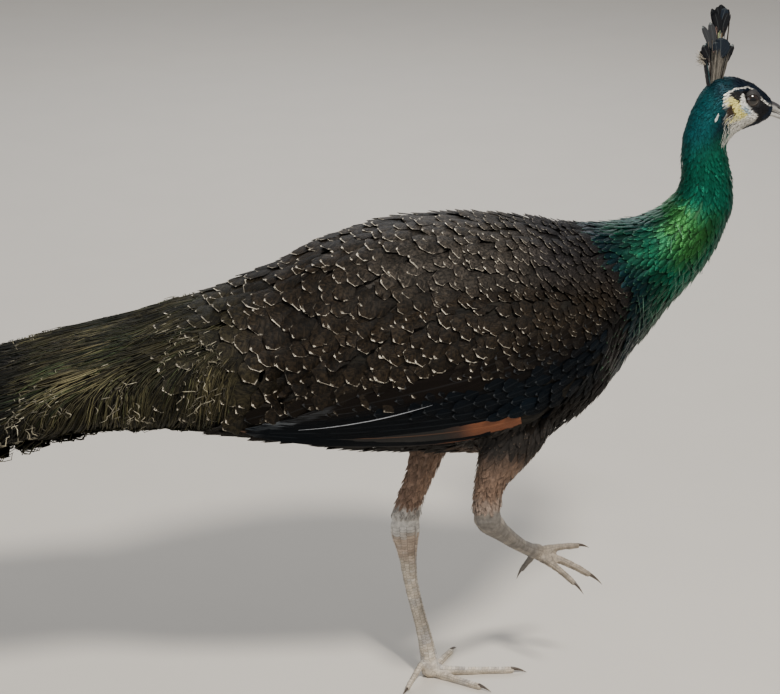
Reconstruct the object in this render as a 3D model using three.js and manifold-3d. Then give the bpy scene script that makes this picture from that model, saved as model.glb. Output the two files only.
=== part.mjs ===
// A life-size young male Indian peafowl, walking: left foot on the ground,
// right foot lifted, neck raised, train folded behind.
// Millimetres. +X is forward (towards the bill), +Y is the bird's left, +Z is up.
// The whole body is lofted first, then parted into head, neck, trunk and rump.
import * as THREE from 'three';
import Module from 'manifold-3d';
import { mergeVertices } from 'three/addons/utils/BufferGeometryUtils.js';

const wasm = await Module();
wasm.setup();

// ---------------------------------------------------------------- sizes
const GAP = 0.35;              // clearance between neighbouring pieces
const CUT = 0.4;               // width of the thin cuts that part the body
const BODY_SEGMENTS = 22;
const EYE_RADIUS = 7.6;
const EYE_CENTRE = [319, 12.0, 652.6];
const WING_THICKNESS = 15;
const TRAIN_TIP_X = -812;
const TAIL_TIP_X = -640;
const CREST_TOP_Z = 747;

// Trunk: x, height of the axis, half width, half depth.
const TRUNK = [
  [-252, 410, 20, 20], [-240, 408, 42, 34], [-205, 402, 66, 60], [-165, 402, 84, 88],
  [-125, 406, 95, 106], [-82, 410, 102, 116.5], [-40, 413.5, 106, 123], [0, 413, 109, 126],
  [40, 411, 110.5, 127], [78, 410.5, 109, 123], [112, 413, 103, 115], [142, 418.5, 92, 102],
  [168, 425, 79, 86], [190, 431, 63, 66], [206, 434, 46, 45], [216, 434.5, 24, 22],
];
// Head and neck: upper or rear point, lower or front point (x, z), half width.
const NECK = [
  [[344.0, 647.0], [343.4, 630.0], 7.4], [[336.5, 655.0], [338.0, 627.2], 10.8],
  [[324.0, 665.2], [332.6, 624.4], 15.4], [[305.0, 672.8], [326.0, 621.6], 18.6],
  [[283.0, 674.0], [317.6, 619.6], 20.0], [[269.5, 656.5], [309.4, 615.0], 20.6],
  [[260.0, 637.0], [302.0, 608.6], 20.8], [[252.6, 611.0], [299.6, 600.0], 21.4],
  [[251.6, 590.0], [303.6, 584.5], 22.6], [[253.6, 570.0], [309.2, 563.5], 24.6],
  [[249.6, 552.6], [311.0, 535.6], 27.6], [[230.4, 536.4], [295.4, 491.8], 35.0],
  [[205.2, 527.2], [274.6, 461.8], 42.5], [[172.0, 523.4], [248.0, 434.6], 52.5],
  [[129.0, 525.0], [223.0, 402.0], 68.0], [[85.0, 523.0], [199.0, 378.0], 80.0],
];
const NECK_CUTS = [                     // point (x, z) on the axis, normal (x, z) towards the head
  [[275, 604], [-0.12, 0.993]],
  [[281, 560], [0.20, 0.98]],
  [[240, 494], [0.69, 0.724]],
  [[176, 465], [0.8, 0.6]],
];
const RUMP_CUT_X = -96;

// ---------------------------------------------------------------- materials
const finish = (color, roughness = 0.8, metalness = 0) =>
  new THREE.MeshStandardMaterial({ color, roughness, metalness });
const MAT = {
  crown: finish(0x0b2a3c, 0.5), neck: finish(0x0a5a52, 0.45), breast: finish(0x14231f, 0.6),
  back: finish(0x4a4236, 0.7), wing: finish(0x12161d, 0.55), rufous: finish(0x7a4424, 0.7),
  train: finish(0x3b3a22, 0.6), tail: finish(0x4f463a, 0.75), thigh: finish(0x2b2019, 0.8),
  shank: finish(0x8f7260, 0.8), scales: finish(0xa9a096, 0.6), claw: finish(0x3a3430, 0.4),
  bill: finish(0x6d6a66, 0.4), eye: finish(0x120c0a, 0.08), crest: finish(0x10243a, 0.5),
};

// ---------------------------------------------------------------- helpers
const V = (a) => new THREE.Vector3(a[0], a[1], a[2]);
const lerp = (a, b, t) => a + (b - a) * t;

// Value of a table row at x, by Catmull-Rom between the rows.
function along(table, x) {
  const n = table.length;
  let i = 0;
  while (i < n - 2 && x > table[i + 1][0]) i++;
  const t = (x - table[i][0]) / (table[i + 1][0] - table[i][0]);
  const p = [Math.max(i - 1, 0), i, i + 1, Math.min(i + 2, n - 1)].map((k) => table[k]);
  return table[0].map((_, k) => {
    const h = p[2][0] - p[1][0];
    const m1 = (p[2][k] - p[0][k]) / (p[2][0] - p[0][0]) * h;
    const m2 = (p[3][k] - p[1][k]) / (p[3][0] - p[1][0]) * h;
    const s = Math.min(Math.max(t, 0), 1);
    const s2 = s * s, s3 = s2 * s;
    return (2 * s3 - 3 * s2 + 1) * p[1][k] + (s3 - 2 * s2 + s) * m1
      + (3 * s2 - 2 * s3) * p[2][k] + (s3 - s2) * m2;
  });
}

// Closed skin over a row of rings that all have the same number of points.
function skin(rings) {
  const n = rings[0].length;
  const pos = [], idx = [];
  rings.forEach((ring) => ring.forEach((p) => pos.push(p.x, p.y, p.z)));
  for (let r = 0; r < rings.length - 1; r++) {
    for (let i = 0; i < n; i++) {
      const a = r * n + i, b = r * n + (i + 1) % n, c = a + n, d = b + n;
      idx.push(a, b, d, a, d, c);
    }
  }
  [0, rings.length - 1].forEach((r, end) => {
    const mid = rings[r].reduce((s, p) => s.add(p), new THREE.Vector3()).divideScalar(n);
    pos.push(mid.x, mid.y, mid.z);
    const m = pos.length / 3 - 1;
    for (let i = 0; i < n; i++) {
      const a = r * n + i, b = r * n + (i + 1) % n;
      if (end) idx.push(a, b, m); else idx.push(b, a, m);
    }
  });
  const g = new THREE.BufferGeometry();
  g.setAttribute('position', new THREE.Float32BufferAttribute(pos, 3));
  g.setIndex(idx);
  return outward(g);
}

// Turns the faces over if they enclose a negative volume.
function outward(g) {
  const p = g.attributes.position, idx = g.index.array;
  const a = new THREE.Vector3(), b = new THREE.Vector3(), c = new THREE.Vector3();
  let vol = 0;
  for (let i = 0; i < idx.length; i += 3) {
    a.fromBufferAttribute(p, idx[i]); b.fromBufferAttribute(p, idx[i + 1]); c.fromBufferAttribute(p, idx[i + 2]);
    vol += a.dot(b.clone().cross(c));
  }
  if (vol < 0) {
    const flipped = Array.from(idx);
    for (let i = 0; i < flipped.length; i += 3) [flipped[i], flipped[i + 1]] = [flipped[i + 1], flipped[i]];
    g.setIndex(flipped);
  }
  return g;
}

// An elliptic ring: centre, two axes, two half sizes, number of points.
function ring(c, u, v, a, b, n = 16, power = 2) {
  const out = [];
  for (let i = 0; i < n; i++) {
    const t = (2 * Math.PI * i) / n;
    const cs = Math.cos(t), sn = Math.sin(t);
    const x = Math.sign(cs) * Math.abs(cs) ** (2 / power), y = Math.sign(sn) * Math.abs(sn) ** (2 / power);
    out.push(c.clone().addScaledVector(u, a * x).addScaledVector(v, b * y));
  }
  return out;
}

// A limb along a path. Each station: [x, y, z, half depth, half width].
// The depth lies in the plane of the path's direction and `front`.
function limb(stations, { n = 8, grow = 0, front = [1, 0, 0], power = 2, cap = 0.45 } = {}) {
  const pts = stations.map((s) => V(s));
  const rings = [];
  const f = V(front);
  stations.forEach((s, i) => {
    const t = pts[Math.min(i + 1, pts.length - 1)].clone().sub(pts[Math.max(i - 1, 0)]).normalize();
    const u = f.clone().addScaledVector(t, -f.dot(t)).normalize();
    const v = new THREE.Vector3().crossVectors(t, u);
    const put = (c, k) => rings.push(ring(c, u, v, (s[3] + grow) * k, (s[4] + grow) * k, n, power));
    const domed = cap * Math.min(s[3], s[4]);
    if (i === 0 && cap > 0) put(pts[i].clone().addScaledVector(t, -domed - grow), 0.55);
    put(pts[i], 1);
    if (i === pts.length - 1 && cap > 0) put(pts[i].clone().addScaledVector(t, domed + grow), 0.55);
  });
  return skin(rings);
}

// Solids for cutting and joining.
function solid(g) {
  let m = g.clone();
  m.deleteAttribute('normal');
  m.deleteAttribute('uv');
  m = mergeVertices(m, 1e-5);
  return new wasm.Manifold(new wasm.Mesh({
    numProp: 3,
    vertProperties: new Float32Array(m.attributes.position.array),
    triVerts: new Uint32Array(m.index.array),
  }));
}
function geometry(m) {
  const mesh = m.getMesh();
  const step = mesh.numProp, n = mesh.vertProperties.length / step;
  const pos = new Float32Array(n * 3);
  for (let i = 0; i < n; i++) for (let k = 0; k < 3; k++) pos[3 * i + k] = mesh.vertProperties[step * i + k];
  // keep the largest closed piece only
  const parent = Array.from({ length: n }, (_, i) => i);
  const find = (i) => { while (parent[i] !== i) { parent[i] = parent[parent[i]]; i = parent[i]; } return i; };
  const tri = mesh.triVerts;
  for (let i = 0; i < tri.length; i += 3) {
    parent[find(tri[i])] = find(tri[i + 1]);
    parent[find(tri[i + 1])] = find(tri[i + 2]);
  }
  const count = new Map();
  for (let i = 0; i < tri.length; i += 3) count.set(find(tri[i]), (count.get(find(tri[i])) || 0) + 1);
  const best = [...count.entries()].sort((p, q) => q[1] - p[1])[0][0];
  const keep = [];
  for (let i = 0; i < tri.length; i += 3) if (find(tri[i]) === best) keep.push(tri[i], tri[i + 1], tri[i + 2]);
  const used = new Map(), outPos = [];
  const idx = keep.map((i) => {
    if (!used.has(i)) { used.set(i, used.size); outPos.push(pos[3 * i], pos[3 * i + 1], pos[3 * i + 2]); }
    return used.get(i);
  });
  const g = new THREE.BufferGeometry();
  g.setAttribute('position', new THREE.Float32BufferAttribute(outPos, 3));
  g.setIndex(idx);
  return g;
}
// A very large block on the side of a plane that its normal points to.
function halfSpace(point, normal, back = 0) {
  const size = 4000;
  const box = new THREE.BoxGeometry(size, size, size);
  const q = new THREE.Quaternion().setFromUnitVectors(new THREE.Vector3(0, 0, 1), V(normal).normalize());
  box.applyQuaternion(q);
  const shift = V(normal).normalize().multiplyScalar(size / 2 + back).add(V(point));
  box.translate(shift.x, shift.y, shift.z);
  return solid(box);
}
// What lies above the floor: it leaves small flats where a foot presses on it.
const onFloor = (m) => m.intersect(halfSpace([0, 0, 0], [0, 0, 1]));
const mirrorY = (g) => outward(g.clone().applyMatrix4(new THREE.Matrix4().makeScale(1, -1, 1)));

const group = new THREE.Group();
function add(name, geom, material) {
  geom.computeVertexNormals();
  const mesh = new THREE.Mesh(geom, material);
  mesh.name = name;
  group.add(mesh);
  return mesh;
}

// ---------------------------------------------------------------- body, whole
const AXIS_Y = new THREE.Vector3(0, 1, 0), AXIS_Z = new THREE.Vector3(0, 0, 1);
function trunkLoft(grow = 0) {
  const rows = TRUNK.map(([x, zc, a, b], i) => {
    const end = i === 0 ? -grow : i === TRUNK.length - 1 ? grow : 0;
    return ring(new THREE.Vector3(x + end, 0, zc), AXIS_Y, AXIS_Z, a + grow, b + grow, BODY_SEGMENTS, 2.12);
  });
  return skin(rows);
}
function neckLoft(grow = 0) {
  const rows = NECK.map(([p, q, half], i) => {
    const a = new THREE.Vector3(p[0], 0, p[1]), b = new THREE.Vector3(q[0], 0, q[1]);
    const c = a.clone().add(b).multiplyScalar(0.5);
    const u = a.clone().sub(b).normalize();
    const ahead = i === 0 ? grow : i === NECK.length - 1 ? -grow : 0;
    c.addScaledVector(new THREE.Vector3(u.z, 0, -u.x), ahead);
    return ring(c, u, AXIS_Y, a.distanceTo(b) / 2 + grow, half + grow, 16, i > 10 ? 2 : 2.1);
  });
  return skin(rows);
}
const wholeBody = (grow = 0) => solid(trunkLoft(grow)).add(solid(neckLoft(grow)));
const body = wholeBody(0);
const bodyGrown = wholeBody(GAP);

// Eyes and their sockets.
const eyeAt = (side, r) => {
  const g = new THREE.SphereGeometry(r, 9, 6);
  g.rotateX(Math.PI / 2);
  g.translate(EYE_CENTRE[0], side * EYE_CENTRE[1], EYE_CENTRE[2]);
  return g;
};
const side3 = ([p, n], s) => ({ p: [p[0], 0, p[1]], n: [n[0] * s, 0, n[1] * s] });
const above = (k) => { const { p, n } = side3(NECK_CUTS[k], 1); return halfSpace(p, n, CUT / 2); };
const below = (k) => { const { p, n } = side3(NECK_CUTS[k], -1); return halfSpace(p, n, CUT / 2); };
let head = body.intersect(above(0));
[1, -1].forEach((s) => { head = head.subtract(solid(eyeAt(s, EYE_RADIUS + GAP))); });
add('head', geometry(head), MAT.crown);
add('neck_upper', geometry(body.intersect(below(0)).intersect(above(1))), MAT.neck);
add('neck_middle', geometry(body.intersect(below(1)).intersect(above(2))), MAT.neck);
add('neck_lower', geometry(body.intersect(below(2)).intersect(above(3))), MAT.neck);
const main = body.intersect(below(3));
add('trunk', geometry(main.intersect(halfSpace([RUMP_CUT_X, 0, 0], [1, 0, 0], CUT / 2))), MAT.breast);
add('rump', geometry(main.intersect(halfSpace([RUMP_CUT_X, 0, 0], [-1, 0, 0], CUT / 2))), MAT.back);
add('eye_l', eyeAt(1, EYE_RADIUS), MAT.eye);
add('eye_r', eyeAt(-1, EYE_RADIUS), MAT.eye);

// ---------------------------------------------------------------- bill
// Each station: upper point, lower point (x, z), half width.
function billLoft(stations) {
  return skin(stations.map(([p, q, half]) => {
    const a = new THREE.Vector3(p[0], 0, p[1]), b = new THREE.Vector3(q[0], 0, q[1]);
    return ring(a.clone().add(b).multiplyScalar(0.5), a.clone().sub(b).normalize(), AXIS_Y,
      a.distanceTo(b) / 2, half, 8, 2.2);
  }));
}
add('bill_upper', billLoft([
  [[344.6, 646.0], [344.6, 636.2], 6.6], [[349.5, 643.6], [350.0, 634.4], 6.1], [[354.6, 640.2], [354.6, 631.8], 5.2],
  [[359.4, 636.0], [358.8, 629.4], 4.0], [[363.4, 631.4], [362.2, 627.0], 2.7], [[366.0, 626.2], [364.4, 624.4], 1.2],
]), MAT.bill);
add('bill_lower', billLoft([
  [[344.6, 635.6], [344.6, 630.2], 5.8], [[350.0, 633.6], [349.4, 628.4], 5.2], [[354.4, 631.0], [353.8, 626.8], 4.2],
  [[358.4, 628.6], [357.8, 625.4], 3.0], [[361.4, 626.4], [361.0, 624.6], 1.4],
]), MAT.bill);

// ---------------------------------------------------------------- crest
// Plumes: root x, z, lean out of the middle plane, tip x, z, blade half width, blade length.
const PLUMES = [
  [283.0, 0.0, 277.0, 746.0, 5.0, 24, 1], [286.5, 0.0, 284.5, CREST_TOP_Z, 5.6, 26, -1],
  [289.5, 0.0, 293.5, 741.5, 5.0, 25, 1], [284.0, 3.0, 269.5, 729.0, 4.2, 20, 1],
  [285.0, -3.0, 275.5, 731.5, 4.0, 22, -1], [288.0, 2.0, 289.0, 713.0, 6.0, 18, 1],
  [290.5, -2.0, 299.0, 704.5, 4.4, 17, -1], [282.5, 1.5, 271.5, 707.0, 4.6, 14, 1],
];
function plume([x0, lean, x1, z1, wide, blade, side]) {
  const base = new THREE.Vector3(x0, lean * 0.4, 679), tip = new THREE.Vector3(x1, lean * 2 + side * 1.2, z1);
  const u = tip.clone().sub(base), len = u.length();
  u.normalize();
  const across = new THREE.Vector3(1, 0, 0).addScaledVector(u, -u.x).normalize();
  const thick = new THREE.Vector3().crossVectors(u, across);
  const start = 1 - blade / len;
  const marks = [0, start, lerp(start, 1, 0.36), lerp(start, 1, 0.78), 1];
  const half = [1.2, 1.1, 0.9 * wide, 0.92 * wide, 0.3 * wide];
  const th = [1.2, 1.1, 1.5, 1.4, 0.6];
  return skin(marks.map((t, i) => ring(base.clone().lerp(tip, t), across, thick, half[i], th[i], 4)));
}
let crest = solid(skin([
  [668, 286.8, 5.8, 4.8], [676, 286.6, 6.2, 4.6], [684, 286.2, 6.9, 4.4], [692, 285.9, 7.9, 4.6], [699, 285.6, 8.8, 4.6],
  [704, 285.6, 7.6, 3.6], [708, 285.6, 4.6, 2.4],
].map(([z, x, a, b]) => ring(new THREE.Vector3(x, 0, z), new THREE.Vector3(1, 0, 0), AXIS_Y, a, b, 8, 2.4))));
PLUMES.forEach((p) => { crest = crest.add(solid(plume(p))); });
add('crest', geometry(crest.subtract(bodyGrown)), MAT.crest);

// ---------------------------------------------------------------- wings
// x, lower edge z, upper edge z, half width of the bird across its folded wings, thickness share.
const WING = [
  [-214, 350, 358, 92, 0.22], [-196, 345, 368, 95.5, 0.35], [-165, 338, 392, 100, 0.6], [-125, 334.5, 424, 107, 0.85],
  [-80, 333.5, 452, 113.5, 1], [-35, 333.5, 470, 118, 1], [10, 336, 480, 121, 1], [50, 342, 484, 121.5, 1],
  [85, 354, 484, 118, 0.95], [118, 374, 480, 109, 0.85], [146, 396, 470, 97, 0.65], [166, 418, 454, 84, 0.35],
];
// The folded wing is a curved blade that lies along the side; `side` is 1 for the left wing.
function wingLoft(side, grow = 0, inset = 0) {
  const count = 7;
  const rows = WING.map(([x, lo, hi, half, share], k) => {
    const t = along(TRUNK, x), zc = t[1], depth = Math.max(t[3] + 3, 60);
    const outer = [], inner = [];
    const end = k === 0 ? -grow : k === WING.length - 1 ? grow : 0;
    for (let i = 0; i < count; i++) {
      const s = i / (count - 1);
      const z = lerp(lo - grow, hi + grow, s);
      const down = Math.min(z - zc, 0) / (depth * 1.3), up = Math.max(z - zc, 0) / (depth * 1.04);
      const bulge = Math.sqrt(Math.max(1 - down * down - up * up, 0.04));
      const y = half * bulge - inset;
      const edge = Math.sin(Math.PI * Math.min(Math.max(s, 0), 1)) ** 0.5;
      const th = 1.6 + WING_THICKNESS * share * (0.25 + 0.75 * edge) + 2 * grow;
      outer.push(new THREE.Vector3(x + end, side * (y + grow), z));
      inner.unshift(new THREE.Vector3(x + end, side * (y + grow - th), z));
    }
    return [...outer, ...inner];
  });
  return skin(rows);
}
const wings = {}, wingsGrown = {};
[[1, 'l'], [-1, 'r']].forEach(([s, tag]) => {
  wings[tag] = solid(wingLoft(s)).subtract(bodyGrown);
  wingsGrown[tag] = solid(wingLoft(s, GAP));
  add(`wing_${tag}`, geometry(wings[tag]), MAT.wing);
});
// Flight feathers that show below the folded wing, in one blade.
const PRIMARIES = [
  [-236, 356, 362, 80, 1.6], [-205, 346, 358, 84, 2.6], [-165, 335, 354, 90, 3.6], [-110, 330.5, 352, 96, 4.6],
  [-30, 329, 350, 101, 5.2], [60, 336, 358, 101, 4.6], [86, 353, 364, 98, 2.4],
];
function primariesLoft(side, grow = 0) {
  return skin(PRIMARIES.map(([x, lo, hi, y, th], k) => {
    const end = k === 0 ? -grow : k === PRIMARIES.length - 1 ? grow : 0;
    return ring(new THREE.Vector3(x + end, side * y, (lo + hi) / 2), AXIS_Z, AXIS_Y, (hi - lo) / 2 + grow, th / 2 + grow, 8, 2.4);
  }));
}
const primGrown = {};
[[1, 'l'], [-1, 'r']].forEach(([s, tag]) => {
  primGrown[tag] = solid(primariesLoft(s, GAP));
  add(`primaries_${tag}`, geometry(solid(primariesLoft(s)).subtract(bodyGrown).subtract(wingsGrown[tag])), MAT.rufous);
});

// ---------------------------------------------------------------- legs
// Each station: x, y, z, half depth, half width.
const LEGS = {
  l: {
    thigh: [[46, 66, 352, 40, 27], [34, 66, 326, 38, 26], [22, 65, 300, 33, 24], [12, 64, 276, 28, 22], [4.1, 62, 253, 22.6, 19]],
    shank: [[4.1, 62, 253, 21.6, 18], [-2.8, 59, 230, 18, 16], [-11.4, 56, 210, 15.6, 14], [-18.6, 52, 191, 16, 13.5], [-22.2, 49, 176, 17, 13.5]],
    tarsus: [[-22.4, 48.6, 174, 16.8, 13.4], [-22.1, 46, 160, 16.2, 13], [-20.8, 43, 144.3, 12.2, 10.6], [-19.7, 39, 129.2, 9.6, 8.6],
      [-18, 35, 109, 8.2, 7.4], [-13.5, 31, 86, 7.8, 7], [-7.5, 26, 60.9, 7.8, 7.2], [-3.2, 21, 40.8, 8.6, 8.6], [-0.2, 17.6, 23.4, 9.8, 10.4], [1.0, 15.4, 11.5, 10.8, 11.6], [1.4, 14.9, 3.8, 10.4, 11.2]],
  },
  r: {
    thigh: [[82, -64, 372, 42, 28], [76, -72, 350, 42, 27], [68, -80, 326, 35, 24], [57, -84, 306, 27, 21], [48, -86, 290, 21, 18]],
    shank: [[48, -86, 290, 20, 17], [44.4, -86.5, 275, 17.4, 15.4], [42.3, -87, 260.8, 16.2, 14], [41.4, -88, 247, 15.8, 13.2]],
    tarsus: [[41.6, -88, 245, 15.6, 13.2], [46.4, -84, 233, 14.2, 12.4], [61.1, -64, 212.6, 10.4, 9.6], [77.1, -46, 192.5, 8.8, 8],
      [92.5, -27, 174.2, 7.6, 7.2], [106, -10, 159.8, 7.8, 8], [115.9, 0, 152.2, 9, 9.4]],
  },
};
const legGrown = [];
const legFront = { l: [1, 0, 0.15], r: [0.9, 0, 0.5] };
['l', 'r'].forEach((tag) => {
  const { thigh, shank, tarsus } = LEGS[tag];
  const s = tag === 'l' ? 'l' : 'r';
  const t = solid(limb(thigh, { n: 9 }));
  add(`thigh_${s}`, geometry(t.subtract(bodyGrown).subtract(wingsGrown[s]).subtract(primGrown[s])
    .subtract(solid(limb(shank, { n: 8, grow: GAP })))), MAT.thigh);
  legGrown.push(solid(limb(thigh, { n: 9, grow: GAP })));
  add(`shank_${s}`, geometry(solid(limb(shank, { n: 8 })).subtract(solid(limb(tarsus, { n: 8, grow: GAP, front: legFront[tag] })))
    .subtract(bodyGrown)), MAT.shank);
  add(`tarsus_${s}`, geometry(onFloor(solid(limb(tarsus, { n: 8, front: legFront[tag] })))), MAT.scales);
});

// Toes: base, tip, thickness at the root and tip, claw length. Numbered from the hind toe.
const FLAT = 0.77;             // height of a toe's axis over the floor, as a share of its radius
function toeStations(base, tip, r0, r1, arch = 0, pads = 3, floor = null) {
  const b = V(base), t = V(tip), out = [];
  const steps = pads + 1;
  for (let i = 0; i <= steps; i++) {
    const s = i / steps;
    const p = b.clone().lerp(t, s);
    p.z += arch * Math.sin(Math.PI * s);
    const r = lerp(r0, r1, s) * (1 + 0.06 * Math.cos(2 * Math.PI * pads * s));
    if (floor !== null) p.z = Math.max(FLAT * r, p.z * (1 - s * 3));
    out.push([p.x, p.y, p.z, r, r * 0.96]);
  }
  return out;
}
function clawStations(tip, dir, length, r, drop, floor) {
  const out = [];
  for (let i = 0; i <= 3; i++) {
    const s = i / 3, rr = Math.max(r * (1 - s) ** 0.7, 0.45);
    const z = tip[2] - drop * s * s * length;
    out.push([tip[0] + dir[0] * length * s, tip[1] + dir[1] * length * s, floor === null ? z + dir[2] * length * s : Math.max(z, rr * 0.79), rr, rr * 0.8]);
  }
  return out;
}
// foot, name, base offset z, tip, radius at root, radius at tip, arch, pads, claw length
const TOES = [
  ['l', 3, [4, 14.5, 7.2], [93, 7, 4.2], 7.0, 4.2, 2.5, 4, 15],
  ['l', 2, [3, 13, 7.0], [51, -24, 4.0], 6.6, 4.0, 2.0, 3, 13],
  ['l', 4, [3, 17, 7.0], [33, 60, 3.8], 6.2, 3.8, 2.0, 3, 12],
  ['l', 1, [-8, 10, 18], [-29, -17, 2.9], 5.0, 3.6, 1.0, 2, 12],
  ['r', 3, [119, -1, 149], [171, -12, 126], 6.8, 4.0, 3.0, 4, 15],
  ['r', 2, [119, 3, 151], [163, 12, 150], 6.4, 3.8, 1.5, 3, 13],
  ['r', 4, [118, -4, 148], [150, -34, 128], 6.2, 3.6, 2.0, 3, 12],
  ['r', 1, [110, 3, 145], [101, 16, 122], 4.6, 3.2, 0.0, 2, 11],
];
const tarsusGrown = {
  l: solid(limb(LEGS.l.tarsus, { n: 8, grow: GAP, front: legFront.l })),
  r: solid(limb(LEGS.r.tarsus, { n: 8, grow: GAP, front: legFront.r })),
};
const before = { l: [], r: [] };
TOES.forEach(([foot, k, base, tip, r0, r1, arch, pads, claw]) => {
  const floor = foot === 'l' ? 0 : null;
  const opts = { n: 5, front: [0, 0, 1] };
  const st = toeStations(base, tip, r0, r1, arch, pads, k === 1 ? null : floor);
  const dir = V(tip).sub(V(base)); if (floor !== null) dir.z = 0; dir.normalize();
  const d = [dir.x, dir.y, dir.z];
  const c0 = [tip[0] - d[0] * 2.5, tip[1] - d[1] * 2.5, tip[2] + 0.9];
  const cs = clawStations(c0, d, claw + 2.5, r1 * 0.62, floor !== null ? 0.28 : 0.35, floor);
  const clawOpts = { n: 5, front: [0, 0, 1], cap: 0 };
  let toe = solid(limb(st, opts)).subtract(tarsusGrown[foot]).subtract(solid(limb(cs, { ...clawOpts, grow: GAP })));
  before[foot].forEach((m) => { toe = toe.subtract(m); });
  before[foot].push(solid(limb(st, { ...opts, grow: GAP })));
  add(`toe_${foot}_${k}`, geometry(onFloor(toe)), MAT.scales);
  add(`claw_${foot}_${k}`, geometry(onFloor(solid(limb(cs, clawOpts)))), MAT.claw);
});

// ---------------------------------------------------------------- tail and train
// Envelope of the tail coverts: x, height of the axis, half width, half depth above the axis.
const TRAIN = [
  [-150, 404, 84, 95.5], [-182, 400, 88, 86.5], [-220, 397, 91, 72.5], [-260, 393, 96, 60], [-300, 390, 99, 49.5],
  [-340, 388, 101, 40.5], [-380, 383, 103, 36], [-420, 376, 105, 31.5], [-480, 361, 110, 26], [-540, 344, 105, 20],
  [-600, 328, 94, 14],
].sort((p, q) => p[0] - q[0]);
// A curved sheet of feathers over an arc of the envelope, angles from the +Y side.
function coverts(from, to, a0, a1, thick, grow = 0, scale = 1, count = 9, steps = 8, side = 1) {
  const rows = [];
  for (let k = 0; k <= steps; k++) {
    const x = lerp(from, to, k / steps);
    const [, zc, a, b] = along(TRAIN, x);
    const outer = [], inner = [];
    const th = thick(k / steps);
    const end = k === 0 ? (from > to ? grow : -grow) : k === steps ? (from > to ? -grow : grow) : 0;
    for (let i = 0; i < count; i++) {
      const s = i / (count - 1);
      const ang = lerp(a0, a1, s);
      const body = th * (0.3 + 0.7 * Math.sin(Math.PI * s) ** 0.6) + 2 * grow;
      const n = new THREE.Vector3(0, side * Math.cos(ang) / a, Math.sin(ang) / b).normalize();
      const tangent = new THREE.Vector3(0, -side * n.z * side, side * n.y * side);
      const p = new THREE.Vector3(x + end, side * a * scale * Math.cos(ang), zc + b * scale * Math.sin(ang));
      if (grow && i === 0) p.addScaledVector(tangent, -grow * (n.y * tangent.z - n.z * tangent.y > 0 ? 1 : -1));
      p.addScaledVector(n, grow);
      outer.push(p.clone());
      inner.unshift(p.clone().addScaledVector(n, -body));
    }
    rows.push([...outer, ...inner]);
  }
  return skin(rows);
}
// A long tapering feather bundle: root, tip, half width, half thickness, rise of its middle.
function vane(root, tip, wide, thick, rise, grow = 0, n = 6) {
  const a = V(root), b = V(tip), rows = [];
  const u = b.clone().sub(a).normalize();
  const across = new THREE.Vector3().crossVectors(u, AXIS_Z).normalize();
  const up = new THREE.Vector3().crossVectors(across, u);
  const w = [0.8, 1, 0.92, 0.62, 0.2];
  const marks = [0, 0.35, 0.72, 0.92, 1];
  marks.forEach((t, i) => {
    const c = a.clone().lerp(b, t);
    c.z += rise * Math.sin(Math.PI * t);
    rows.push(ring(c, across, up, wide * w[i] + grow, Math.max(thick * (1 - 0.55 * t), 0.5) + grow, n));
  });
  return skin(rows);
}
const rad = (d) => (d * Math.PI) / 180;

// Train: the long upper tail coverts, one mass with a fan of tips.
const trainTop = (g = 0) => {
  let m = solid(coverts(-158, -600, rad(14), rad(166), (s) => lerp(17, 10, s), g, 1, 9, 6));
  const tips = [-0.84, -0.56, -0.28, 0, 0.28, 0.56, 0.84];
  tips.forEach((k, i) => {
    const long = TRAIN_TIP_X + 60 * k * k + (i % 2 ? 34 : 0);
    m = m.add(solid(vane([-520, 78 * k, 358 - 10 * k * k + (i % 2) * 3], [long, 108 * k, 291 - 8 * k * k + (i % 3) * 4], 17, 6.5, 5, g, 5)));
  });
  return m;
};
const blockers = [bodyGrown, wingsGrown.l, wingsGrown.r, primGrown.l, primGrown.r];
const cutBy = (m, list) => list.reduce((s, b) => s.subtract(b), m);
const trainGrown = trainTop(GAP);
add('train_upper', geometry(cutBy(trainTop(0), blockers)), MAT.train);
// Side plumes of the train, which hang over the flanks of the tail.
const sidesGrown = [];
[[1, 'l'], [-1, 'r']].forEach(([s, tag]) => {
  const make = (g) => {
    let m = solid(coverts(-176, -470, rad(-42), rad(12.4), (t) => lerp(14, 9, t), g, 1, 4, 5, s));
    [[-27, 520, 18], [-6, 590, 19]].forEach(([deg, end, wide]) => {
      const at = along(TRAIN, -430);
      const y = s * (at[2] - 9) * Math.cos(rad(deg)), z = at[1] + (at[3] - 9) * Math.sin(rad(deg));
      m = m.add(solid(vane([-420, y, z], [-end - 40, y * 0.97, z - 0.27 * (end - 400)], wide, 5, 2, g, 5)));
    });
    return m;
  };
  sidesGrown.push(make(GAP));
  add(`train_side_${tag}`, geometry(cutBy(make(0), [...blockers, trainGrown])), MAT.train);
});
// Tail: the stiff tail feathers, a flat fan under the train.
const tailMake = (g = 0) => {
  let m = solid(vane([-205, 0, 372], [-420, 0, 352], 44, 9, 0, g, 8));
  [-1, -0.5, 0, 0.5, 1].forEach((k, i) => {
    m = m.add(solid(vane([-225, 26 * k, 369 - (i % 2) * 2], [TAIL_TIP_X + 46 * k * k, 88 * k, 306 - (i % 2) * 3], 22, 4.2, 6, g, 5)));
  });
  return m;
};
add('tail', geometry(cutBy(tailMake(0), [...blockers, trainGrown, ...sidesGrown])), MAT.tail);
// Soft feathers below the root of the tail.
const vent = solid(limb([[-150, 0, 352, 50, 62], [-195, 0, 350, 38, 59], [-250, 0, 349, 23, 50], [-310, 0, 347, 9, 30]],
  { n: 8, front: [0, 0, 1] }));
add('vent_coverts', geometry(cutBy(vent, [...blockers, trainGrown, ...sidesGrown, tailMake(GAP)])), MAT.thigh);

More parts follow.
